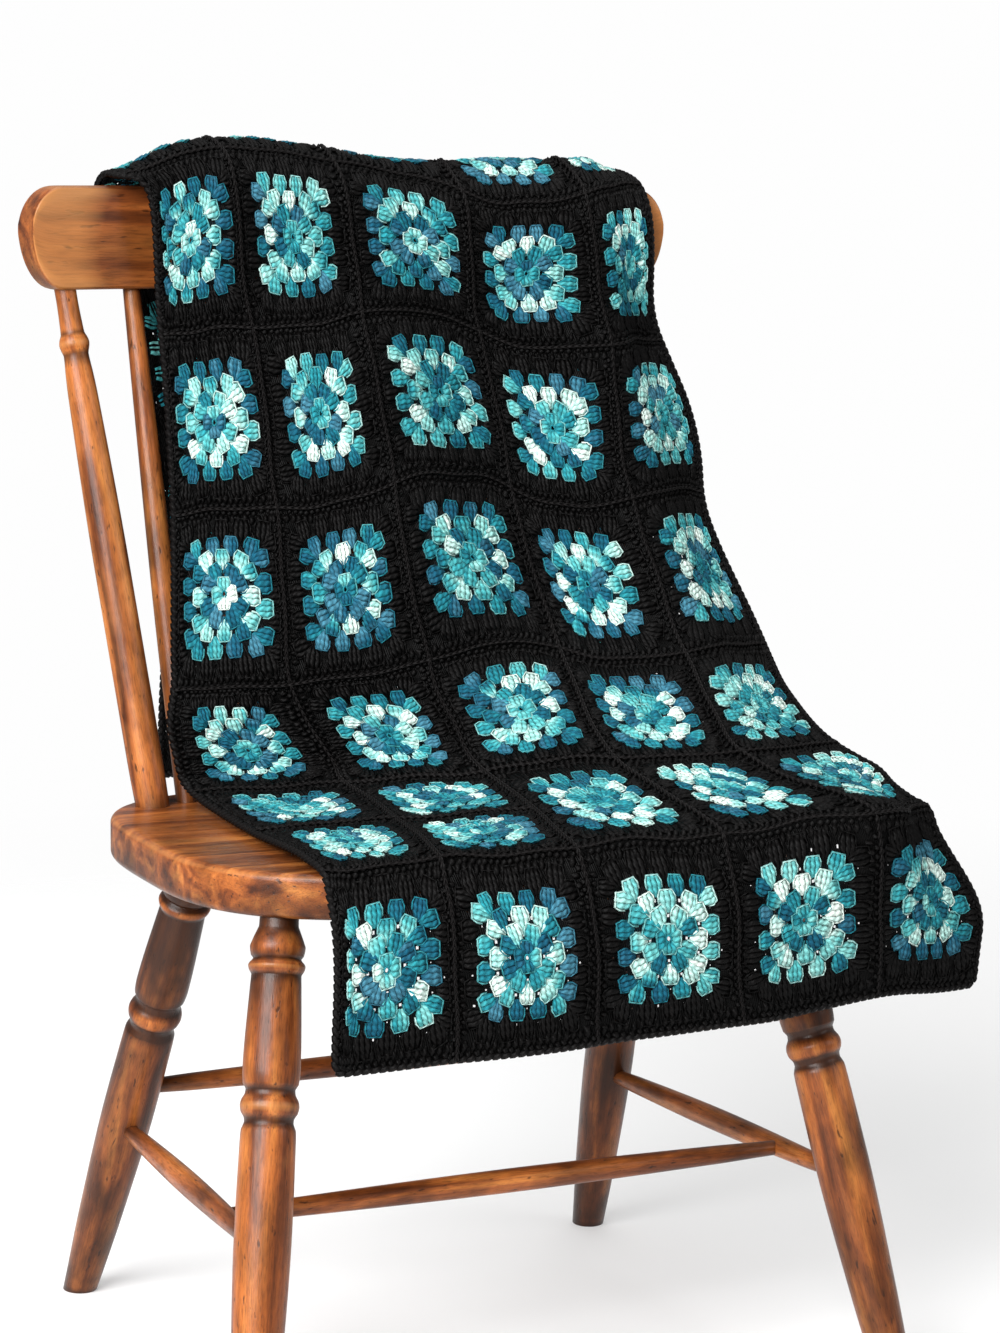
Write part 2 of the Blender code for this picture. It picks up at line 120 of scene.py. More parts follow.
def make_stained_beech():
    """Beech, stained orange brown and brushed with satin varnish. The eye reads long fine pores,
    broad warm and dark bands, small dark knocks, and a soft shine from the varnish. Where the wear
    and shade value is low the wood is darkened, partly stain caught in the grooves and partly
    painted shade. Where it is high the wood is made pale, partly rubbed edges and partly a painted
    highlight."""
    varnish = {"IOR": 1.5, "Specular_IOR_Level": 0.24, "Coat_Weight": 0.10, "Coat_Roughness": 0.16}
    material, tree, shader = new_material("stained beech with satin varnish", **varnish)
    grain = add_node(tree, "Attribute", {"attribute_name": "grain"}).outputs["Vector"]
    noises = []
    for scale, detail, roughness, distortion in (
        # Broad bands are about 16 mm across the grain and 0.2 m along it.
        ((60.0, 60.0, 5.0), 3.0, 0.55, 0.6),
        # Pores are about 1 mm apart and 10 mm long, drawn a little coarse to show.
        ((1100.0, 1100.0, 100.0), 4.0, 0.65, 0.0),
        # Knocks and specks are 1 to 3 mm wide and two or three times as long.
        ((300.0, 300.0, 90.0), 2.0, 0.5, 0.0),
        # Patches where hands, sun and old polish changed the tone are 30 to 60 mm across.
        ((30.0, 30.0, 16.0), 3.0, 0.6, 0.0),
    ):
        place = add_node(tree, "Mapping", Vector=grain, Scale=scale)
        shape = {"Scale": 1.0, "Detail": detail, "Roughness": roughness, "Distortion": distortion}
        noises.append(add_node(tree, "TexNoise", Vector=place, **shape))
    broad, fine, knock, patch = noises
    # The wear and shade value holds real wear and stain together with painted shade where it is low
    # and painted highlights where it is high.
    wear_and_shade = add_node(tree, "Attribute", {"attribute_name": "wear_and_shade"}).outputs["Fac"]
    uneven = add_node(tree, "Math", "MULTIPLY_ADD", i0=patch, i1=0.5, i2=-0.25)
    uneven_wear_and_shade = add_node(tree, "Math", "ADD", i0=wear_and_shade, i1=uneven)
    # What is read, the two ends that it comes from and the two that it goes to.
    pores, patched, specks, rubbed_and_painted_highlight, caught_stain_and_painted_shade, shine = (
        add_node(tree, "MapRange", Value=value, From_Min=a, From_Max=b, To_Min=c, To_Max=d)
        for value, a, b, c, d in (
            (fine, 0.36, 0.54, 0.66, 1.07),
            (patch, 0.34, 0.62, 0.56, 1.14),
            (knock, 0.645, 0.72, 0.0, 0.75),
            (uneven_wear_and_shade, 0.62, 1.0, 0.0, 0.55),
            (uneven_wear_and_shade, 0.44, 0.05, 0.0, 0.90),
            (fine, 0.3, 0.7, 0.42, 0.27),
        )
    )
    tone = add_node(tree, "ValToRGB", Fac=broad)
    stops = tone.color_ramp.elements
    steps = ((0.30, "#46210e"), (0.44, "#7a3f1b"), (0.56, "#9c5828"), (0.76, "#c07a3c"))
    while len(stops) < len(steps):
        stops.new(1.0)
    for stop, (place, colour) in zip(stops, steps):
        stop.position, stop.color = place, (*linear(colour), 1.0)
    colour = add_node(tree, "VectorMath", "SCALE", i0=tone, Scale=pores)
    colour = add_node(tree, "VectorMath", "SCALE", i0=colour, Scale=patched).outputs[0]
    # The pale colour paints rubbed edges and a highlight on them, and the dark one paints stain
    # caught in grooves and painted shade.
    for share, stain_and_painted_light in ((specks, "#1f0e06"), (rubbed_and_painted_highlight, "#c58850"), (caught_stain_and_painted_shade, "#231006")):
        stain_and_painted_light = (*linear(stain_and_painted_light), 1.0)
        mixed = add_node(tree, "Mix", {"data_type": "RGBA"}, i0=share, i6=colour, i7=stain_and_painted_light)
        colour = mixed.outputs[2]
    relief = add_node(tree, "Math", "MULTIPLY_ADD", i0=specks, i1=-0.8, i2=fine)
    bump = add_node(tree, "Bump", Strength=0.35, Distance=0.0006, Height=relief)
    tree.links.new(colour, shader.inputs["Base Color"])
    tree.links.new(shine.outputs[0], shader.inputs["Roughness"])
    tree.links.new(bump.outputs[0], shader.inputs["Normal"])
    return material


stained_beech = make_stained_beech()


def set_all(items, key, values, kind=np.float32):
    """Sets one property of every item in a mesh's list from a whole array."""
    items.foreach_set(key, np.ascontiguousarray(values, kind).ravel())


def add_wood(name, node, points, grain, wear_and_shade):
    """Makes a closed piece of wood from a grid of points, rings by sides, and stands it in for a
    CAD node. Each ring joins the next, the first and last are closed by one flat face, and the
    grain's place and the value of wear and painted shade are kept at every point."""
    rings, sides = points.shape[:2]
    here = np.arange(rings * sides).reshape(rings, sides)
    after = np.roll(here, -1, axis=1)
    walls = np.stack((here[:-1], after[:-1], after[1:], here[1:]), axis=-1).reshape(-1, 4)
    faces = walls.tolist() + [here[0, ::-1].tolist(), here[-1].tolist()]
    mesh = bpy.data.meshes.new(name)
    mesh.from_pydata((points.reshape(-1, 3) + CHAIR).tolist(), [], faces)
    shape = bmesh.new()
    shape.from_mesh(mesh)
    bmesh.ops.recalc_face_normals(shape, faces=shape.faces)
    shape.to_mesh(mesh)
    shape.free()
    set_all(mesh.attributes.new("grain", "FLOAT_VECTOR", "POINT").data, "vector", grain)
    set_all(mesh.attributes.new("wear_and_shade", "FLOAT", "POINT").data, "value", wear_and_shade)
    mesh.materials.append(stained_beech)
    mesh.shade_smooth()
    mesh.set_sharp_from_angle(angle=0.7)
    piece = put_in_scene(name, mesh)
    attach(piece, "root")
    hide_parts(node)


def seat_surface(turn, inset, height):
    """The plank: a superellipse round the seat's middle, squarer behind than in front, pulled in
    by the inset at each height."""
    c, s = np.cos(turn), np.sin(turn)
    power = np.where(s > 0, SEAT_BACK_ROUNDNESS, SEAT_FRONT_ROUNDNESS)
    reach = np.where(s > 0, SEAT_TO_BACK, SEAT_TO_FRONT)
    share = 1.0 - inset / SEAT_HALF_WIDTH
    x = SEAT_HALF_WIDTH * np.sign(c) * np.abs(c) ** (2 / power) * share
    y = SEAT_MIDDLE_Y + reach * np.sign(s) * np.abs(s) ** (2 / power) * share
    return np.stack((x, y, height + 0 * x), axis=-1)


SEAT_SIDES = 128
insets_in = [0.25, 0.12, 0.03]  # rings on the underside, which lies flat
easing = np.linspace(0, np.pi / 2, 7)
rise, fall = SEAT_EASING * (1 - np.cos(easing)), SEAT_EASING * (1 - np.sin(easing))
seat_insets = np.concatenate((insets_in, fall, rise, [0.012, 0.03, 0.12, 0.25]))
seat_bottom = SEAT_TOP - SEAT_THICK
seat_heights = np.concatenate(
    ([seat_bottom] * 3, seat_bottom + rise, SEAT_TOP - fall, [SEAT_TOP] * 4)
)
seat_turns = 2 * np.pi * (np.arange(SEAT_SIDES) + 0.5) / SEAT_SIDES
turn, inset = np.meshgrid(seat_turns, seat_insets)
seat_points = seat_surface(turn, inset, seat_heights[:, None])
# The plank's grain runs from side to side, so its ends show at the left and right edges.
seat_grain = seat_points[..., [1, 2, 0]] * (1.0, 1.0, 0.8) + (0.31, 0.72, 0.15)
# The arris round the top is rubbed pale, and the side's lower part is darker than its top.
arris = np.exp(-(((seat_heights - SEAT_TOP + 0.0025) / 0.0030) ** 2))
arris = arris * np.exp(-(((seat_insets - 0.002) / 0.005) ** 2))
low = seat_heights < SEAT_TOP - 0.020
seat_wear = (0.31 + 0.48 * arris - 0.12 * low)[:, None] + 0 * turn
add_wood("plank_seat", "seat", seat_points, seat_grain, seat_wear)

# ----
# Legs. Four beech legs, turned on a lathe with a bulb and ring at the top and a bead between two
# grooves half way, glued into holes in the seat and splayed outwards.
LEGS = {
    "front": {"top": (0.200, -0.048), "foot": (0.262, -0.150)},
    "back": {"top": (0.190, 0.155), "foot": (0.232, 0.325)},
}
# Share of the length from the top, radius, and a value from dark to pale for the wood there: low in
# the grooves and at the top under the seat, partly stain caught there and partly painted shade;
# high on the beads, partly rubbed wear and partly a painted highlight.
LEG_TURNING = (
    (0.00, 0.0140, 0.00), (0.03, 0.0142, 0.02), (0.070, 0.0200, 0.38), (0.084, 0.0190, 0.16),
    (0.090, 0.0172, 0.05), (0.097, 0.0196, 0.45), (0.103, 0.0206, 0.80), (0.111, 0.0196, 0.50),
    (0.118, 0.0180, 0.00), (0.135, 0.0184, 0.20), (0.285, 0.0208, 0.44), (0.307, 0.0200, 0.36),
    (0.316, 0.0178, 0.05), (0.325, 0.0182, 0.30), (0.334, 0.0203, 0.55), (0.345, 0.0213, 0.85),
    (0.357, 0.0203, 0.55), (0.366, 0.0180, 0.10), (0.374, 0.0177, 0.05), (0.386, 0.0196, 0.45),
    (0.400, 0.0200, 0.60), (0.560, 0.0206, 0.52), (0.800, 0.0178, 0.50), (0.980, 0.0139, 0.45),
    (1.000, 0.0134, 0.20),
)


def follow(at, knots, values, slopes):
    """A smooth curve through the values at the knots: between two knots it is the cubic that has
    their values and their slopes."""
    i = np.clip(np.searchsorted(knots, at, side="right") - 1, 0, len(knots) - 2)
    step = knots[i + 1] - knots[i]
    t = (at - knots[i]) / step
    start = (2 * t**3 - 3 * t**2 + 1) * values[i] + (t**3 - 2 * t**2 + t) * step * slopes[i]
    return start + (3 * t**2 - 2 * t**3) * values[i + 1] + (t**3 - t**2) * step * slopes[i + 1]


def follow_turning(shares, knots, values):
    """A smooth line through a turning's outline that never swings past its points: its slope at a
    point is the harmonic mean of the slopes beside it, or level where they differ in sign."""
    slopes = np.diff(values) / np.diff(knots)
    product = slopes[:-1] * slopes[1:]
    total = np.where(product > 0, slopes[:-1] + slopes[1:], 1.0)
    inner = np.where(product > 0, 2 * product / total, 0.0)
    return follow(shares, knots, values, np.concatenate((slopes[:1], inner, slopes[-1:])))


def unit(vectors):
    """The same directions with a length of one: each vector over its length."""
    return vectors / np.linalg.norm(vectors, axis=-1, keepdims=True)


def turned_surface(top, bottom, outline, rings, sides, level):
    """A turned piece: circles carried along the line from top to bottom, their radius from the
    outline. Where the ends are level, the circles near them are sheared along the line until they
    lie flat. Gives the points, the place in the grain and the value of wear and painted shade."""
    top, bottom = np.array(top, float), np.array(bottom, float)
    length = np.linalg.norm(bottom - top)
    axis = (bottom - top) / length
    side = unit(np.cross(axis, (0.0, 1.0, 0.0)))
    front = np.cross(side, axis)
    knots, radii, wears_and_shades = np.array(outline).T
    between = (knots[1:] + knots[:-1]) / 2
    ends = [0.001, 0.004, 0.996, 0.999]  # close rings, where the ends are eased by 1.2 mm
    shares = np.unique(np.concatenate((np.linspace(0, 1, rings), knots, between, ends)))
    radius = follow_turning(shares, knots, radii)
    radius = radius - 0.0012 * ((shares < ends[0]) | (shares > ends[-1]))
    turns = 2 * np.pi * (np.arange(sides) + 0.5) / sides
    across, through = np.cos(turns) * radius[:, None], np.sin(turns) * radius[:, None]
    offset = across[..., None] * side + through[..., None] * front
    along = (shares * length)[:, None]
    if level:
        near = np.clip(1 - np.minimum(shares, 1 - shares) * length / 0.02, 0, 1)
        offset = offset - (offset[..., 2] / axis[2] * near[:, None])[..., None] * axis
    points = top + along[..., None] * axis + offset
    # Each piece is cut from its own place in the wood.
    own = (
        top[0] * 3.7 + top[1] * 5.1 + 0.4,
        top[0] * 7.3 - bottom[1] * 2.9,
        top[2] + bottom[0] * 4.3,
    )
    grain = np.stack((across, through, along + 0 * across), axis=-1) + own
    wear_and_shade = follow_turning(shares, knots, wears_and_shades)[:, None] + 0 * across
    return points, grain, wear_and_shade


def leg_point(place, side, height):
    """The middle of a leg at a height, on the straight line from under the seat to the foot."""
    top, foot = LEGS[place]["top"], LEGS[place]["foot"]
    share = 1.0 - height / seat_bottom
    x, y = (a + (b - a) * share for a, b in zip(top, foot))
    return np.array((side * x, y, height))


# How much darker each leg is painted than the front left one: painted shade on the legs that get
# less of the key lamp's light.
LEG_PAINTED_SHADE = {"front_left": 0.0, "front_right": 0.24, "back_left": 0.29, "back_right": 0.34}
HANDS = ((-1, "left"), (1, "right"))
for side, hand in HANDS:
    for place in ("front", "back"):
        leg = f"leg_{place}_{hand}"
        ends = (leg_point(place, side, height) for height in (seat_bottom + 0.004, 0.0))
        made = turned_surface(*ends, LEG_TURNING, rings=60, sides=32, level=True)
        points, grain, wear_and_shade = made
        add_wood("turned_" + leg, leg, points, grain, wear_and_shade - LEG_PAINTED_SHADE[f"{place}_{hand}"])

# ----
# Stretchers. Two run along the sides from leg to leg, one crosses between those, and one joins
# the back legs. Each is a thin turned rod, thickest in the middle, glued into its holes.
SIDE_STRETCHER = {"back": 0.153, "front": 0.160}  # heights on the back and the front leg
BACK_STRETCHER, CROSS_SHARE = 0.188, 0.75
STRETCHER_TURNING = (
    (0.00, 0.0056, 0.05), (0.05, 0.0062, 0.22), (0.12, 0.0072, 0.32), (0.50, 0.0092, 0.38),
    (0.88, 0.0072, 0.32), (0.95, 0.0062, 0.22), (1.00, 0.0056, 0.05),
)


def add_stretcher(name, node, start, end):
    """Adds one stretcher, turned along the line from start to end."""
    made = turned_surface(start, end, STRETCHER_TURNING, rings=36, sides=20, level=False)
    add_wood(name, node, *made)


crossing = []
for side, hand in HANDS:
    behind, before = (leg_point(place, side, SIDE_STRETCHER[place]) for place in ("back", "front"))
    # The ends stop 8 mm short of the lines through the legs' middles.
    reach = 0.008 * unit(before - behind)
    add_stretcher(f"rod_{hand}_side", f"stretcher_{hand}", behind + reach, before - reach)
    crossing.append(behind + (before - behind) * CROSS_SHARE)
add_stretcher("rod_across", "stretcher_cross", *crossing)
back_ends = (leg_point("back", side, BACK_STRETCHER) for side, _ in HANDS)
add_stretcher("rod_behind", "stretcher_back", *back_ends)

# ----
# Posts and spindles. Two turned posts and seven plain spindles are glued into the seat on a
# curve, lean back and carry the crest rail in holes along its underside.
CREST_BOTTOM, CREST_MIDDLE_Y, CREST_BEND, CREST_HALF_WIDTH = 0.817, 0.327, 0.026, 0.2755
POST_FOOT_X, POST_TOP_X, SPINDLE_FOOT_X, SPINDLE_TOP_X, SPINDLES = 0.204, 0.243, 0.173, 0.1855, 7
BACK_LINE_Y, BACK_LINE_BEND = 0.246, 0.031
POST_TURNING = (
    (0.00, 0.0086, 0.20), (0.030, 0.0084, 0.35), (0.085, 0.0091, 0.45), (0.094, 0.0094, 0.15),
    (0.103, 0.0110, 0.50), (0.113, 0.0119, 0.85), (0.124, 0.0110, 0.50), (0.134, 0.0098, 0.08),
    (0.170, 0.0108, 0.52), (0.210, 0.0116, 0.64), (0.55, 0.0138, 0.66), (0.90, 0.0138, 0.60),
    (0.98, 0.0133, 0.40), (1.00, 0.0130, 0.10),
)
SPINDLE_TURNING = (
    (0.00, 0.0068, 0.10), (0.04, 0.0071, 0.24), (0.30, 0.0086, 0.30), (0.65, 0.0098, 0.30),
    (0.97, 0.0084, 0.22), (1.00, 0.0082, 0.05),
)


def smooth(t):
    """Eases from 0 to 1 with level ends: 3 t squared less 2 t cubed."""
    t = np.clip(t, 0.0, 1.0)
    return t * t * (3.0 - 2.0 * t)


def crest_line(x):
    """How far back the middle of the crest rail is at x: a parabola whose ends come forward."""
    return CREST_MIDDLE_Y - CREST_BEND * (x / CREST_HALF_WIDTH) ** 2


def back_line(x):
    """How far back the row of holes in the seat is at x: a parabola like the crest rail's."""
    return BACK_LINE_Y - BACK_LINE_BEND * (x / POST_FOOT_X) ** 2


def add_upright(name, top_x, foot_x, turning, rings, sides):
    """Adds a post or a spindle, from 4 mm up in the crest rail to 3 mm down in the seat."""
    in_crest = (top_x, crest_line(top_x), CREST_BOTTOM + 0.004)
    in_seat = (foot_x, back_line(foot_x), SEAT_TOP - 0.003)
    surface = turned_surface(in_crest, in_seat, turning, rings, sides, True)
    add_wood("turned_" + name, name, *surface)


for side, hand in HANDS:
    add_upright(f"post_{hand}", side * POST_TOP_X, side * POST_FOOT_X, POST_TURNING, 50, 28)
for k in range(SPINDLES):
    share = 2 * k / (SPINDLES - 1) - 1
    ends = share * SPINDLE_TOP_X, share * SPINDLE_FOOT_X
    add_upright(f"spindle_{k + 1}", *ends, SPINDLE_TURNING, 24, 18)

# ----
# Crest rail. A board steamed and bent so that its ends come forward, its corners sawn round and
# its long edges eased. The grain follows the bend, and the end grain drinks more stain.
CREST_TOP, CREST_THICK, CREST_EASING = 0.898, 0.026, 0.0048
CREST_CORNER_WIDE, CREST_CORNER_ABOVE, CREST_CORNER_BELOW = 0.027, 0.032, 0.046


def crest_surface(x, turn):
    """The bent board: at each x an upright rounded rectangle, a superellipse of high power, lies
    across the bend. Near the ends its top comes down and its bottom up by quarter ellipses."""
    into = np.maximum(0.0, np.abs(x) - (CREST_HALF_WIDTH - CREST_CORNER_WIDE)) / CREST_CORNER_WIDE
    left = 1.0 - np.sqrt(np.maximum(0.0, 1.0 - (0.995 * into) ** 2))
    bottom, top = CREST_BOTTOM + CREST_CORNER_BELOW * left, CREST_TOP - CREST_CORNER_ABOVE * left
    slope = -2 * CREST_BEND * x / CREST_HALF_WIDTH**2
    lean = np.sqrt(1 + slope**2)
    half_high, half_thick = (top - bottom) / 2, CREST_THICK / 2
    easing = np.minimum(CREST_EASING, 0.45 * half_high)
    # The corner of the rectangle is walked in the direction of the turn, then rounded.
    c, s = np.cos(turn), np.sin(turn)
    flat_thick = np.clip(c * 3.0, -1, 1) * (half_thick - easing)
    flat_high = np.clip(s * 3.0, -1, 1) * (half_high - easing)
    over, up = flat_thick + easing * c, flat_high + easing * s
    place = (x - over * slope / lean, crest_line(x) + over / lean, (bottom + top) / 2 + up)
    return np.stack(place, axis=-1), over, up


crest_x = CREST_HALF_WIDTH * np.sin(np.pi * (np.linspace(0, 1, 97) - 0.5))
crest_turn = 2 * np.pi * np.arange(48) / 48
x, turn = np.meshgrid(crest_x, crest_turn, indexing="ij")
crest_points, over, up = crest_surface(x, turn)
crest_grain = np.stack((over + 0.9, up * 0.6 + 0.31, x * 0.5 + 0.55), axis=-1)
# Hands have rubbed the front face's border pale, and the pale line is also a painted highlight
# along its edge. The sawn ends have drunk the stain. Where the blanket lies on the rail and beside
# it, the rail is painted dark as painted shade from the cloth.
rubbed_and_highlit_border = np.exp(-(((np.abs(np.sin(turn)) - 0.42) / 0.13) ** 2)) * (np.cos(turn) < 0)
round_end = smooth((np.abs(x) - (CREST_HALF_WIDTH - 0.020)) / 0.010)
round_end = round_end * smooth((0.75 + np.cos(turn)) / 0.15)
painted_shade_by_cloth = smooth((0.240 - np.abs(x)) / 0.048)
crest_wear_and_shade = 0.86 + 0.30 * rubbed_and_highlit_border * (1 - 0.6 * painted_shade_by_cloth)
crest_wear_and_shade = crest_wear_and_shade - 0.50 * round_end - 0.42 * painted_shade_by_cloth
add_wood("bent_crest_rail", "crest_rail", crest_points, crest_grain, crest_wear_and_shade)

# ----
# Blanket: the cloth. Fifty-two squares crocheted from acrylic yarn are joined into one sheet,
# five squares wide. It hangs behind the chair, passes over the crest rail, slopes down the
# spindles, crosses the seat and drops over its front. Its own weight has stretched it.
COLUMNS, FIRST_ROW, LAST_ROW = 5, -4, 6
SQUARE = 0.125  # one square laid flat
# Row, then x, y and z in millimetres of the cloth's left edge, of the seam three squares in and of
# its right edge.
SECTIONS = (
    (-4.00, -153, 345, 420, 108, 348, 412, 336, 346, 424),
    (-2.50, -149, 346, 620, 106, 350, 612, 334, 347, 618),
    (-1.00, -179, 352, 828, 94, 354, 826, 310, 353, 828),
    (-0.55, -202, 350, 888, 86, 350, 891, 292, 350, 892),
    (-0.25, -206, 319, 912, 84, 320, 917, 287, 320, 921),
    (0.00, -199, 285, 908, 84, 288, 899, 288, 281, 904),
    (1.00, -183, 272, 782, 96, 270, 785, 297, 266, 774),
    (2.00, -183, 245, 643, 110, 229, 653, 294, 226, 648),
    (3.00, -195, 208, 511, 121, 153, 537, 313, 146, 533),
    (3.50, -191, 203, 463, 112, 86, 503, 300, 80, 498),
    (4.00, -187, 184, 435, 101, 16, 474, 291, 12, 470),
    (4.50, -185, 58, 427, 104, -64, 457, 308, -50, 453),
    (4.88, -184, -62, 427, 108, -126, 443, 334, -94, 443),
    (5.00, -184, -94, 423, 109, -143, 438, 341, -106, 438),
    (5.12, -184, -106, 408, 111, -151, 422, 342, -115, 423),
    (6.00, -183, -114, 283, 130, -149, 299, 341, -117, 301),
)
# Fold, the seam it is centred on, half width in squares, first row, last row, rows over which it
# fades, then how far it moves the cloth forward, to the right and up, in millimetres.
FOLDS = (
    ("shoulder", 1.2, 1.7, -1, 1.15, 0.8, 0, 0, 20),
    ("left end droop", 0, 0.6, -0.9, 0.25, 0.4, 0, 0, -10),
    ("right end droop", 5, 0.6, -0.9, 0.05, 0.3, 0, 0, -11),
    ("gather", 1.6, 1.7, -4.9, 6.9, 0.8, 0, -11, 0),
    ("column 2 belly", 1.6, 1.45, 0.4, 3.4, 0.9, 14, 0, 8),
    ("column 3 ridge", 2.1, 0.95, 0.4, 3.2, 0.8, 10, -5, 4),
    ("valley lean", 3, 0.9, 1.2, 3.8, 0.9, -4, 6, 0),
    ("column 4 ridge", 4, 1, 0.2, 5.6, 1, 26, -4, 2),
    ("seat pocket", 1.3, 1.7, 3, 5.1, 0.9, -22, 34, -6),
    ("right shoulder", 5, 1, -4.9, 1.9, 1.2, -10, -40, 0),
    ("right edge curl", 5, 0.8, 1.3, 4.2, 0.9, -12, -10, 0),
    ("seat corner drop", 5, 0.9, 4.3, 5.7, 0.65, -6, -35, -2),
    ("left edge curl", 0, 0.8, -0.1, 3.3, 0.4, -12, 12, 0),
    ("hem wave 1", 1.5, 0.8, 5, 6.9, 0.8, 7, 0, 0),
    ("hem wave 2", 4, 0.9, 4.3, 6.9, 0.8, 6, 10, 7),
    ("back flute 1", 1.4, 1, -4.9, -0.8, 1.1, -28, 0, 0),
    ("back flute 2", 3.7, 1, -4.9, -0.8, 1.1, -27, 0, 0),
)


def follow_rows(rows, knots, values):
    """A smooth curve through the values at the knots, with the slope of each knot's neighbours."""
    return follow(rows, knots, values, np.gradient(values, knots))


def drape(across, rows):
    """Points on the middle of the cloth, across 0 to 5 squares and rows -4 to 6. Each section's
    three points are joined by two lines with the corner between them eased by a hyperbola. The
    folds are added, each a raised cosine across and a flat-topped ease along the rows."""
    table = np.array(SECTIONS)
    knots, places = table[:, 0], table[:, 1:] / 1000
    right_share = 0.5 * ((across - 3.0) + np.sqrt((across - 3.0) ** 2 + 0.35**2))
    left_share = right_share - (across - 3.0)
    point = np.zeros(np.shape(across) + (3,))
    for axis in range(3):
        left, valley, right = (follow_rows(rows, knots, places[:, axis + k]) for k in (0, 3, 6))
        point[..., axis] = valley + left_share * (left - valley) / 3.0
        point[..., axis] += right_share * (right - valley) / 2.0
    for _, centre, half, first, last, fade, forward, sideways, up in FOLDS:
        share = np.cos(np.clip(np.abs(across - centre) / half, 0.0, 1.0) * np.pi / 2) ** 2
        share = share * smooth((rows - first) / fade) * smooth((last - rows) / fade)
        point += share[..., None] * (np.array((sideways, -forward, up)) / 1000)
    return point + CHAIR


ROWS = LAST_ROW - FIRST_ROW
FINE = 48  # steps in a row, and half that in a column, at which the stretch is evened out
even_across = np.linspace(0, COLUMNS, COLUMNS * FINE // 2 + 1)
plain_rows = np.linspace(FIRST_ROW, LAST_ROW, ROWS * FINE + 1)
steps = np.linalg.norm(np.diff(drape(*np.meshgrid(even_across, plain_rows)), axis=0), axis=-1)
down = np.concatenate((np.zeros((1, len(even_across))), np.cumsum(steps, axis=0)))
before = np.minimum((plain_rows - FIRST_ROW).astype(int), ROWS - 1) * FINE
share = (np.arange(len(plain_rows)) - before) / FINE
wanted = down[before] + share[:, None] * (down[before + FINE] - down[before])
even_rows = [np.interp(*pair, plain_rows) for pair in zip(wanted.T, down.T)]
even_rows = np.stack(even_rows, axis=1)


def even_out(across, rows):
    """The row at which a square's own share of its length has been used up, so that each square
    is stretched evenly from seam to seam: looked up in a table and blended between its corners."""
    i = np.clip((rows - FIRST_ROW) * FINE, 0, len(plain_rows) - 1.001)
    j = np.clip(across * FINE / 2, 0, len(even_across) - 1.001)
    i0, j0 = i.astype(int), j.astype(int)
    a, b = i - i0, j - j0
    upper = even_rows[i0, j0] * (1 - b) + even_rows[i0, j0 + 1] * b
    lower = even_rows[i0 + 1, j0] * (1 - b) + even_rows[i0 + 1, j0 + 1] * b
    return upper * (1 - a) + lower * a


# How far the middle of each column has slipped down over the chair, at some rows, in hundredths of
# a row. The fourth has slid forward over the crest rail, and the third is held back beside it.
SLIP_ROWS = (-1.6, -0.5, 0.5, 1.5, 2.5, 3.5, 4.3, 5.0)
SLIPS = (
    (0, 0, 0, 0, 0),
    (0, 0, -2, 20, 6),
    (-2, 0, -5, 14, 5),
    (1, 3, -11, 10, 1),
    (0, 6, -10, 7, -1),
    (8, 9, 1, 15, 8),
    (0, 4, 6, 4, 0),
    (0, 0, 0, 0, 0),
)
# How far it has moved to the right, in hundredths of a column, as the cloth is drawn or bunched.
SLIDE_ROWS = (-1.6, -0.5, 0.5, 1.5, 2.5, 3.5, 4.5, 5.5, 6.0)
SLIDES = (
    (0, 0, 0, 0, 0),
    (-5, -4, 0, 0, 2),
    (-13, -8, -1, -5, 16),
    (-3, -2, 3, -3, 13),
    (-5, -2, 0, -13, 12),
    (-4, -1, 3, -9, 0),
    (-5, -6, -1, -5, 9),
    (-13, -7, -3, -6, -2),
    (-13, -7, -3, -6, -2),
)


def moved(across, rows, table_rows, table):
    """How far the squares have moved at a place: smooth curves along the rows through the
    table's columns, blended across from one column's middle to the next by an ease."""
    held, knots = np.clip(rows, table_rows[0], table_rows[-1]), np.array(table_rows)
    curves = np.stack([follow_rows(held, knots, column) for column in np.array(table).T / 100])
    i = np.clip((across - 0.5).astype(int), 0, COLUMNS - 2)
    share = smooth((across - 0.5 - i - 0.5) / 0.8 + 0.5)
    picked = np.take_along_axis(curves, np.stack((i, i + 1)), axis=0)
    return picked[0] * (1 - share) + picked[1] * share


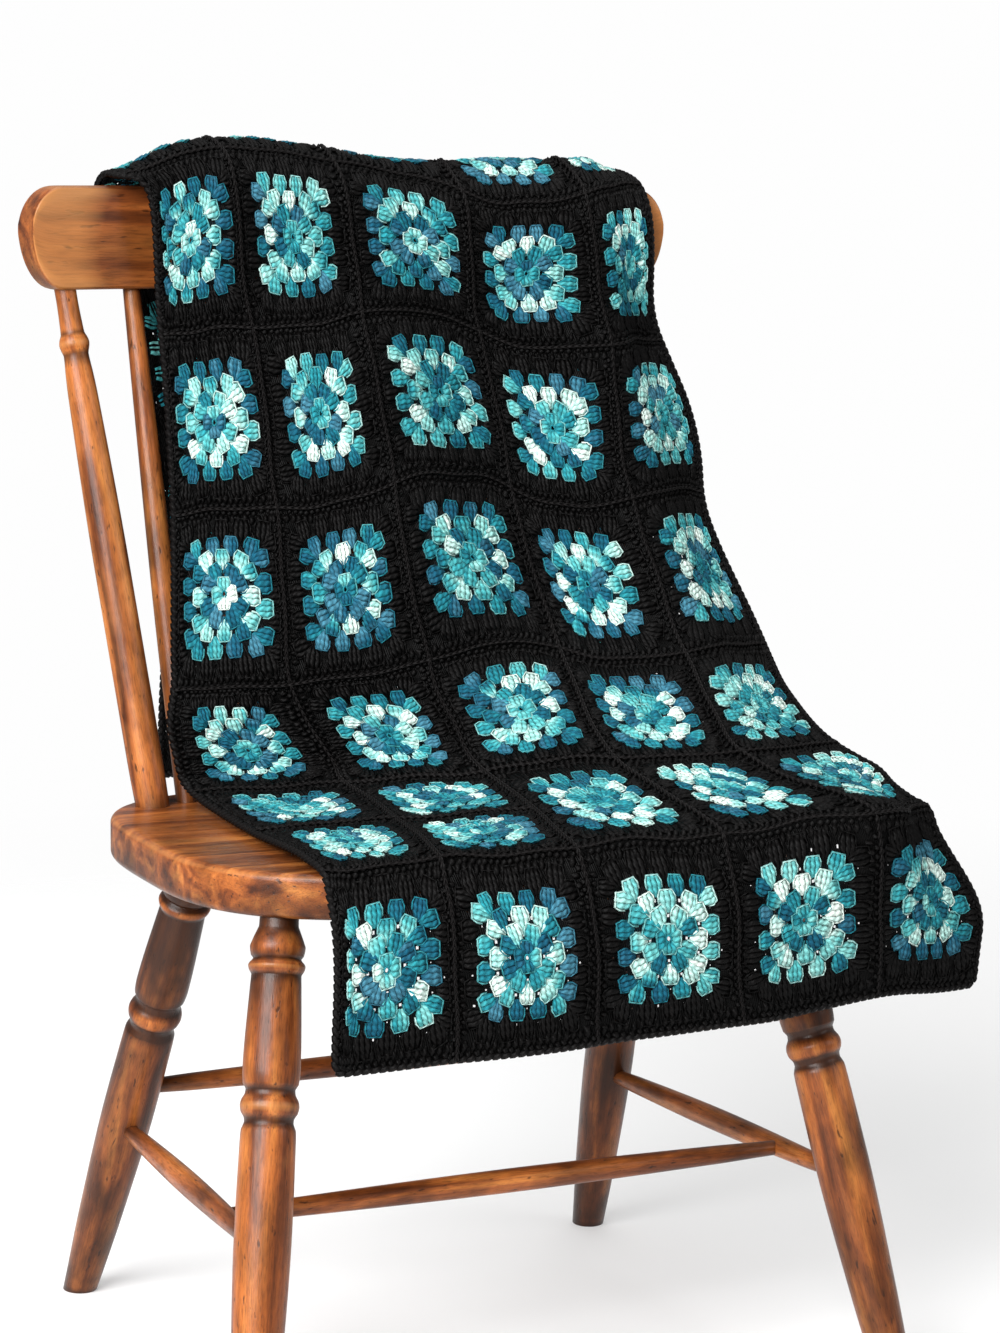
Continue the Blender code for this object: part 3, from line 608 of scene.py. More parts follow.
def lay(across, rows, height=0.0):
    """Lays flat points on the cloth, and gives each point and the outward normal there. Seams
    wander by a millimetre or two in slow waves, and the squares swell between them by a
    millimetre. The normal is the cross product of the steps down the rows and across."""
    across, rows = np.broadcast_arrays(np.asarray(across, float), np.asarray(rows, float))

    def clear_of(at, first, last, width):
        """Eases from 0 at both edges to 1 a width away from them."""
        return smooth((at - first) / width) * smooth((last - at) / width)

    wander = 0.010 * np.sin(5.3 * rows + 2.1 * across) + 0.006 * np.sin(11.7 * rows - 3.9 * across)
    dip = 0.010 * np.sin(4.7 * across + 1.3 * rows) + 0.006 * np.sin(10.3 * across - 2.7 * rows)
    wander = clear_of(across, 0, COLUMNS, 0.5) * wander
    across, rows = across + wander, rows + dip * clear_of(rows, FIRST_ROW, LAST_ROW, 0.5)
    slipped = moved(across, rows, SLIP_ROWS, SLIPS)
    slid = moved(across, rows, SLIDE_ROWS, SLIDES) * clear_of(across, 0, COLUMNS, 0.3)
    across, rows = across + slid, even_out(across, rows + slipped)
    # The cloth's four corners are rounded: past a twentieth of a square each is a quarter circle.
    corner = 0.05
    over_side = np.maximum(corner - np.minimum(across, COLUMNS - across), 0)
    over_end = np.maximum(corner - np.minimum(rows - FIRST_ROW, LAST_ROW - rows), 0)
    back = 1 - 1 / np.maximum(np.hypot(over_side, over_end) / corner, 1)
    across = across + back * over_side * np.where(across < COLUMNS / 2, 1, -1)
    rows = rows + back * over_end * np.where(rows < (FIRST_ROW + LAST_ROW) / 2, 1, -1)
    step = 0.015
    along_width = drape(across + step, rows) - drape(across - step, rows)
    along_rows = drape(across, rows + step) - drape(across, rows - step)
    normal = unit(np.cross(along_rows, along_width))
    swell = 0.0012 * np.sqrt(np.abs(np.sin(np.pi * across) * np.sin(np.pi * rows)))
    slow = 0.0008 * np.sin(7.1 * across + 3.3 * rows) * np.sin(4.9 * rows - 2.2 * across + 0.6)
    return drape(across, rows) + normal * np.asarray(height + swell + slow)[..., None], normal


# Each square: first and last column line, first and last row line. Two squares fill the fifth row
# of the first two columns, where the cloth is longest across the seat.
squares = []
for row in range(FIRST_ROW, LAST_ROW):
    for column in range(COLUMNS):
        lines = (4.0, 4.5, 5.0) if row == 4 and column < 2 else (row, row + 1)
        squares += [(column, column + 1, *pair) for pair in zip(lines, lines[1:])]
squares = np.array(squares, float)
# How much wider or narrower across, in hundredths, the coloured rounds of each column lie than
# they were made, row by row from the crest rail down.
WIDENED = (
    (17, -5, 5, 2, 17),
    (16, -12, 2, 3, 9),
    (13, -5, -4, -5, 8),
    (-14, -6, 0, 0, 17),
    (-6, 6, 2, -13, 13),
    (12, -4, -2, -10, 13),
)
# Half the width of the middle ring and of rounds 1 to 6, laid flat, in metres.
ROUND_RADII = (0.0022, 0.0111, 0.0222, 0.0333, 0.0444, 0.0554, 0.0615)


def round_off(x, y):
    """Rounds a square's early rounds: a point keeps its direction, and its distance is that of a
    superellipse whose power grows from 3 at the middle to a plain square by the border."""
    reach = np.maximum(np.abs(x), np.abs(y)) + 1e-9
    power = 3.0 + 13.0 * (reach / 0.044) ** 2
    share = ((np.abs(x) / reach) ** power + (np.abs(y) / reach) ** power) ** (-1.0 / power)
    share = share + (1 - share) * smooth((reach - 0.050) / 0.010)
    return x * share, y * share


def place_in_square(which, x, y):
    """Where flat points of a square, in metres from its middle with y up, are in columns and
    rows."""
    x, y = round_off(x, y)
    shape = (-1,) + (1,) * (np.ndim(x) - 1)
    first, last, upper, lower = (squares[which, i].reshape(shape) for i in range(4))
    border, fading = ROUND_RADII[6], 0.016  # the border keeps its width, as its seams do
    # The open black rounds have stretched more than the close coloured ones where cloth hangs.
    drawn = np.where(upper < 3, 0.085, np.where(upper >= 5, 0.12, 0.02))
    y = y * (1 - drawn * smooth((border - np.abs(y)) / fading))
    widened = np.array(WIDENED)[np.clip(upper, 0, 5).astype(int), first.astype(int)] / 100
    x = x * (1 + widened * smooth((border - np.abs(x)) / fading))
    across = first + (x / SQUARE + 0.5) * (last - first)
    return across, upper + (0.5 - y / SQUARE) * (lower - upper)


CELLS = 23  # the ground under the stitches is a net of this many cells in a square


def ground_faces():
    """Which cells of a square's ground stay: round n leaves a hole in each corner and one
    between each two clusters on a side, and one is left in the middle."""
    kept = np.ones((CELLS, CELLS), bool)
    half = CELLS // 2
    for n in range(1, 6):
        ring = half + (2 * n - 1) * np.array((-1, 1))
        for a in [2 * n - 1] + [2 * i for i in range(-(n - 2), n - 1, 2)]:
            for place in (half - a, half + a):
                kept[place, ring] = kept[ring, place] = False
    kept[half, half] = False
    return kept


def add_ground():
    """The middle layer of yarn that carries the stitches: a grid over every square, less its
    holes, with its edges shared between squares, given thickness by two skins 0.6 mm to each
    side of the cloth and a wall round each hole and the hem. Gives the points, the faces and how
    far out in its square each point was made, in squares."""
    lines = np.linspace(-0.5, 0.5, CELLS + 1) * SQUARE
    y, x = np.meshgrid(-lines, lines, indexing="ij")
    reach = np.maximum(np.abs(x), np.abs(y)) / SQUARE
    # The corners of a hole move towards its middle, so that the holes are about 3 mm wide.
    kept, half = ground_faces(), CELLS // 2
    hole_rows, hole_columns = np.nonzero(~kept)
    far_out = np.maximum(np.abs(hole_rows - half), np.abs(hole_columns - half)) > 6
    uneven = np.random.default_rng(5).uniform(0.64, 0.96, len(hole_rows))
    shrink = np.where(far_out, uneven, 0.56) * SQUARE / CELLS / 2
    for over_row, over_column in ((0, 0), (0, 1), (1, 0), (1, 1)):
        x[hole_rows + over_row, hole_columns + over_column] += shrink * (1 - 2 * over_column)
        y[hole_rows + over_row, hole_columns + over_column] -= shrink * (1 - 2 * over_row)
    every = (len(squares),) + x.shape
    x, y, reach = (np.broadcast_to(value, every) for value in (x, y, reach))
    across, rows = place_in_square(np.arange(len(squares)), x, y)
    point, normal = lay(across, rows)
    # Corners that two squares share become one point: equal column and row, rounded.
    key = np.round(np.stack((across, rows), axis=-1).reshape(-1, 2) * 1e5).astype(np.int64)
    key = key[:, 0] * 4_000_000 + key[:, 1]
    _, first, shared = np.unique(key, return_index=True, return_inverse=True)
    shared = shared.reshape(across.shape)
    point, normal = point.reshape(-1, 3)[first], normal.reshape(-1, 3)[first]
    upper, lower = shared[:, :-1], shared[:, 1:]
    corners = (upper[..., :-1], lower[..., :-1], lower[..., 1:], upper[..., 1:])
    cells = np.stack(corners, axis=-1)[:, kept].reshape(-1, 4)
    # The rim is the edges that only one cell has. The other skin's points follow the first's.
    ends = np.concatenate([cells[:, [i, (i + 1) % 4]] for i in range(4)])
    code = ends.min(axis=1) * len(point) + ends.max(axis=1)
    _, index, count = np.unique(code, return_index=True, return_counts=True)
    a, b = ends[index[count == 1]].T
    other = len(point)
    walls = np.stack((b, a, a + other, b + other), axis=-1)
    faces = np.concatenate((cells, cells[:, ::-1] + other, walls))
    half_thick = normal * 0.0006
    points = np.concatenate((point + half_thick, point - half_thick))
    used, faces = np.unique(faces, return_inverse=True)
    return points[used], faces.reshape(-1, 4), reach.reshape(-1)[first][used % other]


def fill_mesh(name, material, points, loops, sizes, uv, dye):
    """A mesh from whole arrays: points, the corners of all faces in a row, each face's number of
    corners, a UV place at each corner and a dye colour at each point."""
    mesh = bpy.data.meshes.new(name)
    mesh.vertices.add(len(points))
    mesh.loops.add(len(loops))
    mesh.polygons.add(len(sizes))
    set_all(mesh.vertices, "co", points)
    set_all(mesh.loops, "vertex_index", loops, np.int32)
    set_all(mesh.polygons, "loop_start", np.cumsum(sizes) - sizes, np.int32)
    mesh.update(calc_edges=True)
    solid = np.concatenate((dye, np.ones((len(dye), 1))), axis=1)
    set_all(mesh.color_attributes.new("dye", "FLOAT_COLOR", "POINT").data, "color", solid)
    set_all(mesh.uv_layers.new(name="along the yarn").data, "uv", uv)
    mesh.materials.append(material)
    mesh.shade_smooth()
    mesh.validate()
    piece = put_in_scene(name, mesh)
    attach(piece, "root")
    return piece


def make_acrylic_yarn(name, sheen, sheen_tint, roughness):
    """Four-ply acrylic yarn, spun and dyed. The eye reads a soft matt thread whose plies wind round
    it every 6 mm, with painted shade in the grooves between them, and a faint bloom of loose fibre."""
    material, tree, shader = new_material(
        name,
        Roughness=roughness,
        Specular_IOR_Level=0.08,
        Sheen_Weight=sheen,
        Sheen_Roughness=0.45,
        Sheen_Tint=(*linear(sheen_tint), 1.0),
    )
    dye = add_node(tree, "VertexColor", {"layer_name": "dye"})
    along = add_node(tree, "UVMap", {"uv_map": "along the yarn"})
    # U goes once round the thread and V once every 3 mm, so this slope winds the plies round it.
    wound = add_node(tree, "VectorMath", "DOT_PRODUCT", i0=along, i1=(4 * math.pi, math.pi, 0.0))
    ply = add_node(tree, "Math", "SINE", i0=wound.outputs["Value"])
    place = add_node(tree, "TexCoord").outputs["Object"]
    # Loose fibre is finer than can show, so it is drawn as 0.7 mm flecks.
    fibre = add_node(tree, "TexNoise", Vector=place, Scale=1400.0, Detail=2.0, Roughness=0.6)
    # Small gaps between the loops of two tall stitches, 7 mm or more from their foot, are painted
    # dark on the stitch as painted shade. They lie on a stitch's flanks, where U is near 0 or a
    # half, and come every 4.5 mm.
    parts = add_node(tree, "SeparateXYZ", Vector=along)
    up = parts.outputs["Y"]
    round_turn = add_node(tree, "Math", "MULTIPLY", i0=parts.outputs["X"], i1=2 * math.pi)
    round_cosine = add_node(tree, "Math", "COSINE", i0=round_turn)
    flank = add_node(tree, "Math", "ABSOLUTE", i0=round_cosine)
    loops_up = add_node(tree, "Math", "MULTIPLY_ADD", i0=up, i1=4.19, i2=-3.4)
    pulse = add_node(tree, "Math", "SINE", i0=loops_up)
    # What is read, the two ends that it comes from and the two that it goes to.
    shade, flecks, at_flank, at_pulse, far_up = (
        add_node(tree, "MapRange", Value=value, From_Min=a, From_Max=b, To_Min=c, To_Max=d)
        for value, a, b, c, d in (
            (ply, -1.0, 1.0, 0.66, 1.12),
            (fibre, 0.3, 0.7, 0.76, 1.20),
            (flank, 0.40, 0.80, 0.0, 1.0),
            (pulse, 0.10, 0.75, 0.0, 1.0),
            (up, 1.9, 2.3, 0.0, 0.48),
        )
    )
    gap_shade = add_node(tree, "Math", "MULTIPLY_ADD", i0=at_pulse, i1=far_up, i2=0.32)
    gap_shade = add_node(tree, "Math", "MULTIPLY", i0=gap_shade, i1=at_flank)
    closed = add_node(tree, "Math", "SUBTRACT", i0=1.0, i1=gap_shade)
    both = add_node(tree, "Math", "MULTIPLY", i0=shade, i1=flecks)
    both = add_node(tree, "Math", "MULTIPLY", i0=both, i1=closed)
    colour = add_node(tree, "VectorMath", "SCALE", i0=dye, Scale=both)
    height = add_node(tree, "Math", "MULTIPLY_ADD", i0=fibre, i1=1.2, i2=ply)
    bump = add_node(tree, "Bump", Strength=0.6, Distance=0.0004, Height=height)
    tree.links.new(colour.outputs[0], shader.inputs["Base Color"])
    tree.links.new(bump.outputs[0], shader.inputs["Normal"])
    return material


black_yarn = make_acrylic_yarn("black acrylic yarn", 0.0, "#8a8284", 0.5)
BLACK = linear("#080707")
TEAL_IN_PAINTED_SHADE = linear("#06171d")

points, faces, reach = add_ground()
# The ground is painted darker than the stitches on it as the shade under them: half-strength black,
# and under the coloured rounds teal in painted shade.
teal_share = 1 - smooth((reach - 0.25) / 0.04)
ground_painted_shade = BLACK * 0.5 + (TEAL_IN_PAINTED_SHADE - BLACK * 0.5) * teal_share[:, None]
loops, sizes = faces.ravel(), np.full(len(faces), 4)
uv = points[loops][:, [0, 2]] / 0.003
ground = fill_mesh("yarn_ground", black_yarn, points, loops, sizes, uv, ground_painted_shade)
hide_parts("blanket")

# ----
# Blanket: the coloured rounds. From a ring grow rounds of 4, 8, 12 and 16 clusters. Each is three
# tall stitches worked into one hole, narrow below and wide above, with a chain along the top. The
# yarn changes colour along the ball, from near white through aqua and teal to steel blue.
variegated_yarn = make_acrylic_yarn("variegated acrylic yarn", 0.02, "#e6fbf8", 0.75)
YARN_COLOURS = ("#ddebe3", "#98d1c9", "#55adad", "#288a94", "#165f70", "#144f66", "#3f768a")
yarn_ball = np.array([linear(colour) for colour in YARN_COLOURS])
GROUPS = {"behind": (-4, -1), "back_rest": (-1, 3), "seat": (3, 6)}  # first row and the one after


def spin_yarn(path, normal, wide, thick, sides):
    """Strands of yarn: an ellipse is carried along each path, wide across the cloth and thick
    along the normal, and each end is closed by one face. Paths are strands by stations. Gives
    the points, the corners, the faces' sizes and the UV, which is once round and V every 3 mm."""
    strands, stations = path.shape[:2]
    along = np.gradient(path, axis=1)
    across = np.cross(normal, along)
    across /= np.linalg.norm(across, axis=-1, keepdims=True) + 1e-12
    turn = 2 * np.pi * np.arange(sides) / sides
    points = (
        path[:, :, None]
        + np.cos(turn)[:, None] * (wide[..., None] * across)[:, :, None]
        + np.sin(turn)[:, None] * (thick[..., None] * normal)[:, :, None]
    )
    here = np.arange(strands * stations * sides).reshape(strands, stations, sides)
    after = np.roll(here, -1, axis=2)
    walls = np.stack((here[:, :-1], after[:, :-1], after[:, 1:], here[:, 1:]), axis=-1)
    caps = np.stack((here[:, 0, ::-1], here[:, -1]), axis=1)
    steps = np.linalg.norm(np.diff(path, axis=1), axis=-1)
    travelled = np.cumsum(np.concatenate((np.zeros((strands, 1)), steps), axis=1), axis=1) / 0.003
    u, v, up = np.arange(sides) / sides, travelled[:, :-1], travelled[:, 1:]
    wall_u = np.stack((u, u + 1 / sides, u + 1 / sides, u), axis=-1)
    wall_v = np.stack((v, v, up, up), axis=-1)[:, :, None]
    wall_uv = [np.broadcast_to(value, walls.shape) for value in (wall_u, wall_v)]
    uv = np.concatenate((np.stack(wall_uv, axis=-1).reshape(-1, 2), np.zeros((caps.size, 2))))
    loops = np.concatenate((walls.ravel(), caps.ravel()))
    sizes = np.concatenate((np.full(walls.size // 4, 4), np.full(caps.size // sides, sides)))
    return points.reshape(-1, 3), loops, sizes, uv


def gather_strands(batches):
    """Joins batches of strands, each its points, corners, sizes, UV and dye, into one."""
    points, loops, sizes, uv, dye = zip(*batches)
    starts = np.cumsum([0] + [len(group) for group in points[:-1]])
    loops = [group + start for group, start in zip(loops, starts)]
    return [np.concatenate(group) for group in (points, loops, sizes, uv, dye)]


def quarter_turns(x, y):
    """The flat points on one side of a square, and those turned to its other three sides."""
    turned = [(x * c - y * s, x * s + y * c) for c, s in ((1, 0), (0, 1), (-1, 0), (0, -1))]
    return (np.concatenate(group) for group in zip(*turned))


def cluster_frame(n, inner, outer, corner):
    """The foot and the head of every cluster of round n, flat, in metres. On the upper side the
    heads stand evenly between the corners and the feet in the holes of the round before; the
    other sides are that side turned by quarter turns."""
    pitch = 2 * (outer - corner) / n
    head = -(outer - corner) + pitch * (np.arange(n) + 0.5)
    foot = np.zeros(1)
    if n > 1:
        before_corner = corner * 0.9
        before_pitch = 2 * (inner - before_corner) / (n - 1)
        foot = -(inner - before_corner) + before_pitch * np.arange(n)
        # The two at the ends stand in the corner holes, and lean out.
        foot[0], foot[-1] = -(inner - 0.0032) + 0.0016, inner - 0.0032 - 0.0016
        head[0], head[-1] = head[0] - 0.0016, head[-1] + 0.0016
    foot_y = np.full(n, inner - (0.0034 if n > 1 else 0.0))
    head_y = outer + 0.0006 - 0.0010 * (np.abs(head) > 0.62 * outer)
    feet = np.stack(tuple(quarter_turns(foot, foot_y)), axis=-1)
    heads = np.stack(tuple(quarter_turns(head, head_y)), axis=-1)
    return feet, heads, pitch


# A tall stitch and the chain along the top: place across the cluster in widths, place up it in
# heights, height of its middle above the cloth and half its thickness in metres.
OUTER_STITCH = (
    (0.14, 0.02, 0.0002, 0.0013), (0.28, 0.34, 0.0006, 0.0019),
    (0.31, 0.66, 0.0008, 0.0020), (0.24, 1.00, 0.0005, 0.0016),
)
MIDDLE_STITCH = (
    (0.00, 0.00, 0.0003, 0.0012), (0.00, 0.34, 0.0009, 0.0020),
    (0.00, 0.67, 0.0011, 0.0021), (0.00, 1.03, 0.0007, 0.0016),
)
HALF_CHAIN = (
    (-0.50, 0.42, 0.0008, 0.0006), (-0.53, 0.74, 0.0014, 0.0009), (-0.39, 1.03, 0.0019, 0.0010),
)
CHAIN_HALF_WIDTH = 0.0008
MIRRORED = np.array((-1, 1, 1, 1))
TALL_STITCHES = np.array((OUTER_STITCH * MIRRORED, MIDDLE_STITCH, OUTER_STITCH))
TOP_CHAIN = np.concatenate((HALF_CHAIN, HALF_CHAIN[::-1] * MIRRORED))[None]


def add_clusters(which, n, corner, fill, sides, chance):
    """All clusters of round n in some squares. Each stitch's path is its table's place, times
    the cluster's width and height, from its foot towards its head. A tall stitch is as wide as
    leaves no gap between the three, and every cluster's width, lean and height differ a little.
    Gives the strands, and for each point how far up it is."""
    feet, heads, pitch = cluster_frame(n, ROUND_RADII[n - 1], ROUND_RADII[n], corner)
    count = (len(which), len(feet))
    feet = feet + chance.normal(0, 0.0003, count + (2,))
    heads = heads + chance.normal(0, 0.0006, count + (2,))
    width = fill * pitch * (1 + chance.normal(0, 0.05, count))
    up = heads - feet
    over = unit(np.stack((up[..., 1], -up[..., 0]), axis=-1)) * width[..., None]
    batches = []
    for stitches, thread_sides in ((TALL_STITCHES, sides), (TOP_CHAIN, 4)):
        aside, share, height, thick = np.moveaxis(stitches, -1, 0)
        flat = feet[:, :, None, None] + over[:, :, None, None] * aside[..., None]
        flat = flat + up[:, :, None, None] * share[..., None]
        across, rows = place_in_square(which, flat[..., 0], flat[..., 1])
        path, normal = lay(across, rows, np.broadcast_to(height, across.shape))
        grown = (1 + chance.normal(0, 0.05, across.shape[:3]))[..., None]
        thick = thick * grown
        apart = np.linalg.norm(path[:, :, -1] - path[:, :, 0], axis=-1)[:, :, None]
        chain = len(stitches) == 1
        wide = CHAIN_HALF_WIDTH * grown + 0 * thick if chain else 0.36 * apart * grown
        strands = (-1, stitches.shape[1])
        path, normal = path.reshape(*strands, 3), normal.reshape(*strands, 3)
        batch = spin_yarn(path, normal, wide.reshape(strands), thick.reshape(strands), thread_sides)
        batches.append((*batch, np.broadcast_to(share, across.shape), thread_sides))
    return batches


def yarn_colour(phase):
    """The variegated yarn's colour: phase 0 to 1 runs in straight steps along the ball's list."""
    at = np.clip(phase, 0, 1) * (len(yarn_ball) - 1)
    i = np.minimum(at.astype(int), len(yarn_ball) - 2)
    return yarn_ball[i] + (yarn_ball[i + 1] - yarn_ball[i]) * (at - i)[..., None]


def squares_in(group):
    """The squares whose rows belong to a group."""
    first, after = GROUPS[group]
    return np.flatnonzero((squares[:, 2] >= first) & (squares[:, 2] < after))


# Each round's usual phase, how much that varies, the palest that it gets, and how much of its
# place a cluster fills. Round 3 came from the palest yarn, and round 4 from the yarn between.
ROUNDS = (
    (0.48, 0.20, 0.06, 0.92), (0.63, 0.23, 0.10, 0.82),
    (0.05, 0.33, 0.00, 0.75), (0.62, 0.23, 0.27, 0.68),
)
chance = np.random.default_rng(12)
for group in GROUPS:
    which = squares_in(group)
    batches = []
    for n, (usual, spread, palest, fill) in enumerate(ROUNDS, 1):
        corner = 0.0030 + 0.0004 * n  # how far short of a corner the clusters stop
        made = add_clusters(which, n, corner, fill, 5, chance)
        drift = chance.normal(0, 1, (len(which), 4 * n))
        drift = (drift + 0.6 * np.roll(drift, 1, axis=1) + 0.3 * np.roll(drift, 2, axis=1)) / 1.2
        if n == 3:
            phase = usual + spread * np.maximum(drift - 0.10, 0)
            change = np.maximum(0.0, chance.normal(0.12, 0.22, phase.shape))
        else:
            phase = np.maximum(usual + spread * drift, palest)
            change = chance.normal(0.0, 0.10, phase.shape)
        phase, change = phase[:, :, None, None], change[:, :, None, None]
        for points, loops, sizes, uv, share, sides in made:
            strands = share.shape[:3]
            at = phase + change * np.clip(share, 0, 1)
            at = at + chance.normal(0, 0.045, strands)[..., None]
            colour = yarn_colour(at) * (1 + chance.normal(0, 0.05, strands))[..., None, None]
            if sides == 4:  # the chain along the top
                colour = colour + (yarn_colour(at - 0.25) - colour) * 0.45
            dye = np.repeat(colour[..., None, :], sides, axis=-2).reshape(-1, 3)
            batches.append((points, loops, sizes, uv, dye))
    # The ring that round 1 is worked into: a small circle of yarn in the middle.
    radius, height, wide, thick = 0.0026, 0.0009, 0.0010, 0.0012
    turn = np.tile(np.linspace(0, 2 * np.pi, 10), (len(which), 1))
    across, rows = place_in_square(which, radius * np.cos(turn), radius * np.sin(turn))
    path, normal = lay(across, rows, height)
    ring = spin_yarn(path, normal, np.full(turn.shape, wide), np.full(turn.shape, thick), 4)
    batches.append((*ring, np.tile(yarn_colour(np.array(0.55)), (len(ring[0]), 1))))
    fill_mesh(f"coloured_rounds_{group}", variegated_yarn, *gather_strands(batches))

# ----
# Blanket: the black rounds. Round 5 is twenty black clusters that fill the notches of round 4,
# and round 6 is a close border of short stitches that squares each piece off.
SHORT_STITCHES = 19  # on each side of a square, in each of two rows


def add_short_rows(which, chance):
    """Round 6: two rows of short plump strands along each side of the square, square to it and
    leaning a little, the outer row set half a stitch on, from round 5's top to the seam."""
    inner, outer = ROUND_RADII[5] - 0.0014, ROUND_RADII[6] + 0.0002
    middle = (ROUND_RADII[5] + ROUND_RADII[6]) / 2
    share = np.array((0.0, 0.5, 1.0))
    place = (np.arange(SHORT_STITCHES) + 0.5) / SHORT_STITCHES * 2 - 1
    place = np.concatenate((place, place + 1.0 / SHORT_STITCHES))
    x = place[:, None] * (outer - 0.0024) + 0.0016 * (share - 0.5)
    low = np.repeat((inner, middle), SHORT_STITCHES)[:, None]
    high = np.repeat((middle + 0.0004, outer), SHORT_STITCHES)[:, None]
    x, y = quarter_turns(x, low + (high - low) * share)
    x = x + chance.normal(0, 0.0005, (len(which), 1, 1))
    x = x + chance.normal(0, 0.0004, (len(which), 8 * SHORT_STITCHES, 1))
    y = y + chance.normal(0, 0.0004, (len(which), 8 * SHORT_STITCHES, 1))
    across, rows = place_in_square(which, x, y)
    height = np.broadcast_to((0.0002, 0.0014, 0.0004), across.shape)
    path, normal = (found.reshape(-1, 3, 3) for found in lay(across, rows, height))
    size = (1 + chance.normal(0, 0.12, across.shape[:2])).reshape(-1, 1)
    wide, thick = np.array(((0.0015, 0.0026, 0.0017), (0.0011, 0.0019, 0.0012)))
    return spin_yarn(path, normal, wide * size, thick * size, 4)


for group in GROUPS:
    which = squares_in(group)
    made = [batch[:4] for batch in add_clusters(which, 5, 0.0048, 0.74, 4, chance)]
    made.append(add_short_rows(which, chance))
    batches = []
    for batch in made:
        # Black yarn takes the dye unevenly: each ring of four points has its own tone.
        tone = 1 + np.clip(chance.normal(0, 0.26, len(batch[0]) // 4), -0.6, 1.2)
        batches.append((*batch, BLACK * np.repeat(tone, 4)[:, None]))
    fill_mesh(f"black_rounds_{group}", black_yarn, *gather_strands(batches))

# ----
# Blanket: seams and edging. Squares are joined from the outside by a row of black slip stitches,
# which stands up as a thin ridge. A rope-like border of slanting stitches runs round the cloth.
SEAM_STITCH = (0.0056, 0.0010, 0.0013, 0.0032)  # length, half width, half thickness, height
EDGE_STITCH = (0.0064, 0.0028, 0.0027, 0.0002)


def stitch_along(across, rows, stitch, lean, outward=0.0):
    """A row of slanting stitches along a line on the cloth. The line is cut into equal lengths,
    and each piece gets one strand that crosses it from one side to the other."""
    length, wide, thick, height = stitch
    line, normal = lay(across, rows)
    travelled = np.concatenate(([0], np.cumsum(np.linalg.norm(np.diff(line, axis=0), axis=1))))
    count = max(2, int(round(travelled[-1] / length)))
    starts = (np.arange(count) + 0.5) / count * travelled[-1]
    shares = np.array((-0.75, -0.25, 0.25, 0.75))
    at = np.clip(starts[:, None] + shares * length * 0.9, 0, travelled[-1])

    def there(values):
        """A value for each point of the line, at the strands' stations."""
        return np.stack([np.interp(at, travelled, column) for column in values.T], axis=-1)

    up = unit(there(normal))
    sideways = unit(np.cross(up, there(np.gradient(line, travelled, axis=0))))
    rise = np.array((-0.0006, 0.0002, 0.0002, -0.0006)) + height
    aside = lean * shares / 0.75 + outward
    path = there(line) + up * rise[:, None] + sideways * aside[:, None]
    size = np.broadcast_to((0.65, 1.0, 1.0, 0.65), path.shape[:2])
    return spin_yarn(path, up, wide * size, thick * size, 4)


fine_rows = np.linspace(FIRST_ROW, LAST_ROW, 601)
joined = [(np.full(601, float(column)), fine_rows) for column in range(1, COLUMNS)]
for row in list(range(FIRST_ROW + 1, LAST_ROW)) + [4.5]:
    reach = 2.0 if row == 4.5 else float(COLUMNS)
    joined.append((np.linspace(0, reach, 301), np.full(301, float(row))))
seams = []
for across, rows in joined:
    for lean in (0.0009, -0.0009):
        seams.append(stitch_along(across, rows, SEAM_STITCH, lean, outward=lean * 0.6))
hem = (
    (np.zeros(601), fine_rows),
    (np.full(601, float(COLUMNS)), fine_rows[::-1]),
    (np.linspace(0, COLUMNS, 301), np.full(301, float(LAST_ROW))),
    (np.linspace(COLUMNS, 0, 301), np.full(301, float(FIRST_ROW))),
)
edging = [stitch_along(across, rows, EDGE_STITCH, 0.0016) for across, rows in hem]
# The ridges and the rope edging stand up from the cloth, so their black yarn is painted 2.8 and 2
# times as bright: a painted highlight on the raised yarn.
for name, made, tone in (("joining_ridges", seams, 2.8), ("rope_edging", edging, 2.0)):
    batches = [(*batch, np.tile(BLACK * tone, (len(batch[0]), 1))) for batch in made]
    fill_mesh(name, black_yarn, *gather_strands(batches))

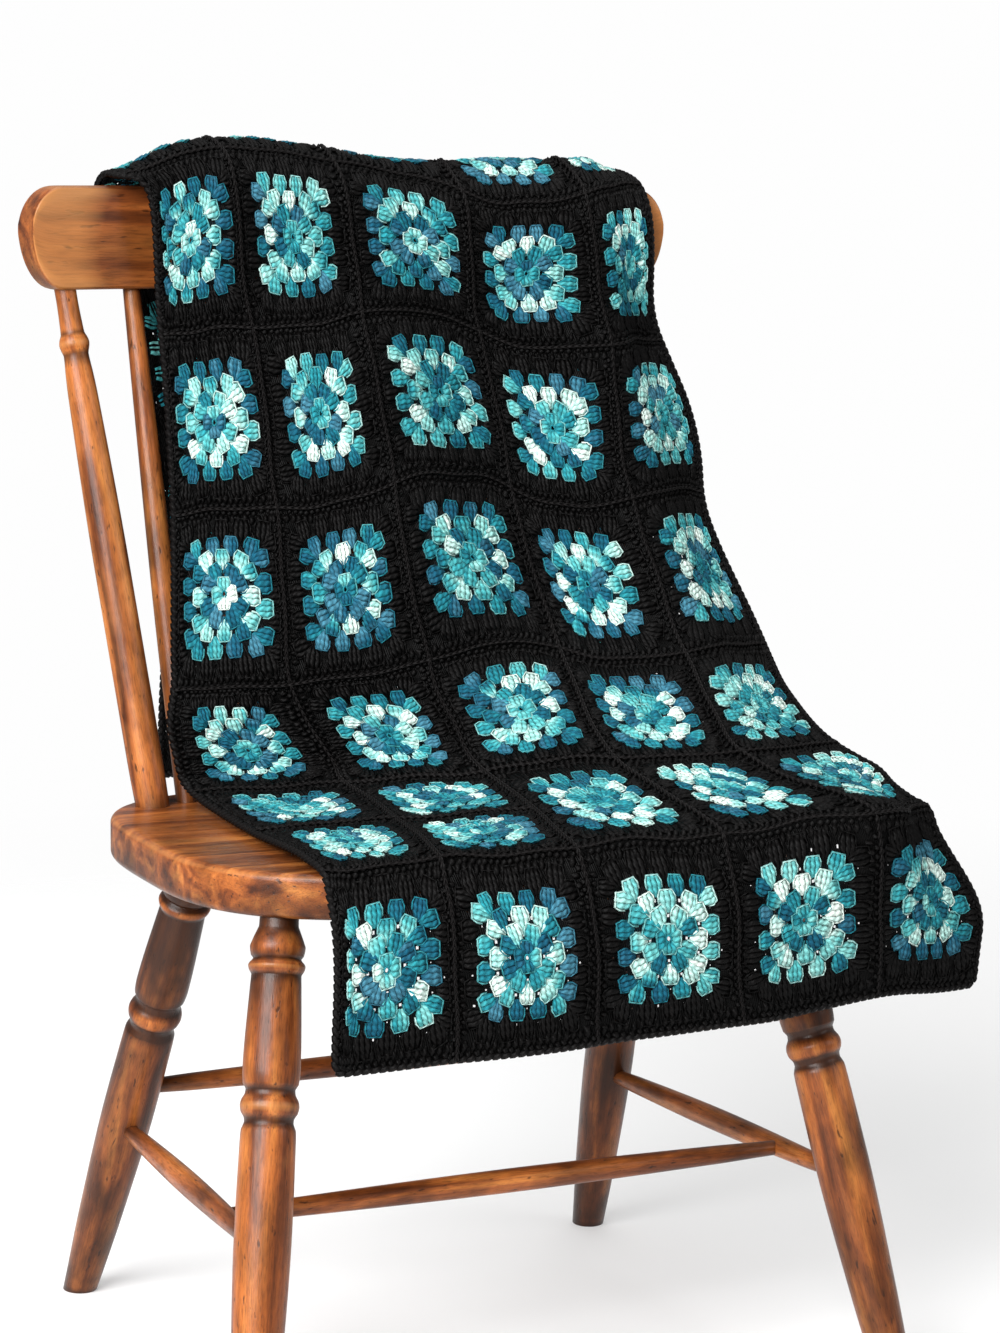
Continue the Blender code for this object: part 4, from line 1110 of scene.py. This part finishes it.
# ----
# Room. A plain pale studio: white paper on the floor and white all round, with soft light from
# large lamps in front on both sides and above.
WHITE = (1.0, 1.0, 1.0, 1.0)
paper, paper_tree, paper_shader = new_material(
    "white background paper",
    Base_Color=(0.68, 0.68, 0.68, 1.0),
    Emission_Color=WHITE,
    Emission_Strength=0.28,
    Roughness=0.9,
    Specular_IOR_Level=0.1,
)
# The paper fades into the white behind it between 0.8 and 2.4 m from the chair.
floor_place = add_node(paper_tree, "TexCoord").outputs["Object"]
from_chair = add_node(paper_tree, "VectorMath", "LENGTH", i0=floor_place).outputs["Value"]
ends = {"From_Min": 0.8, "From_Max": 2.4, "To_Min": 1.0, "To_Max": 0.0}
eased = {"interpolation_type": "SMOOTHSTEP"}
fading = add_node(paper_tree, "MapRange", eased, Value=from_chair, **ends)
paper_tree.links.new(fading.outputs[0], paper_shader.inputs["Alpha"])
floor_mesh = bpy.data.meshes.new("paper floor")
sheet_corners = [(-5.0, -5.0, 0.0), (5.0, -5.0, 0.0), (5.0, 5.0, 0.0), (-5.0, 5.0, 0.0)]
floor_mesh.from_pydata(sheet_corners, [], [(0, 1, 2, 3)])
floor_mesh.materials.append(paper)
floor = put_in_scene("paper_floor", floor_mesh)

world = bpy.data.worlds.new("studio")
world.use_nodes = True
world_tree = world.node_tree
background = world_tree.nodes["Background"]
background.inputs["Color"].default_value = WHITE
# The white cloth behind the chair is lit on its own, brighter than the light that it gives.
behind_chair = add_node(world_tree, "LightPath").outputs["Is Camera Ray"]
bright = add_node(world_tree, "MapRange", Value=behind_chair, To_Min=0.37, To_Max=0.99)
world_tree.links.new(bright.outputs[0], background.inputs["Strength"])
bpy.context.scene.world = world
bpy.context.scene.view_settings.view_transform = "Standard"
for name, place, size, power in (
    ("key lamp", (-2.9, -2.0, 2.4), 3.0, 350.0),
    ("fill lamp", (2.6, -2.4, 1.8), 2.0, 22.0),
    ("top lamp", (0.2, 0.4, 3.4), 2.2, 35.0),
):
    lamp = bpy.data.lights.new(name, "AREA")
    lamp.shape, lamp.size, lamp.energy = "SQUARE", size, power
    away = unit(np.array(place) - (0.0, 0.0, 0.5))  # every lamp is aimed at the chair's middle
    right = unit(np.cross((0.0, 0.0, 1.0), away))
    stand_at(put_in_scene(name, lamp), place, right, np.cross(away, right), away)
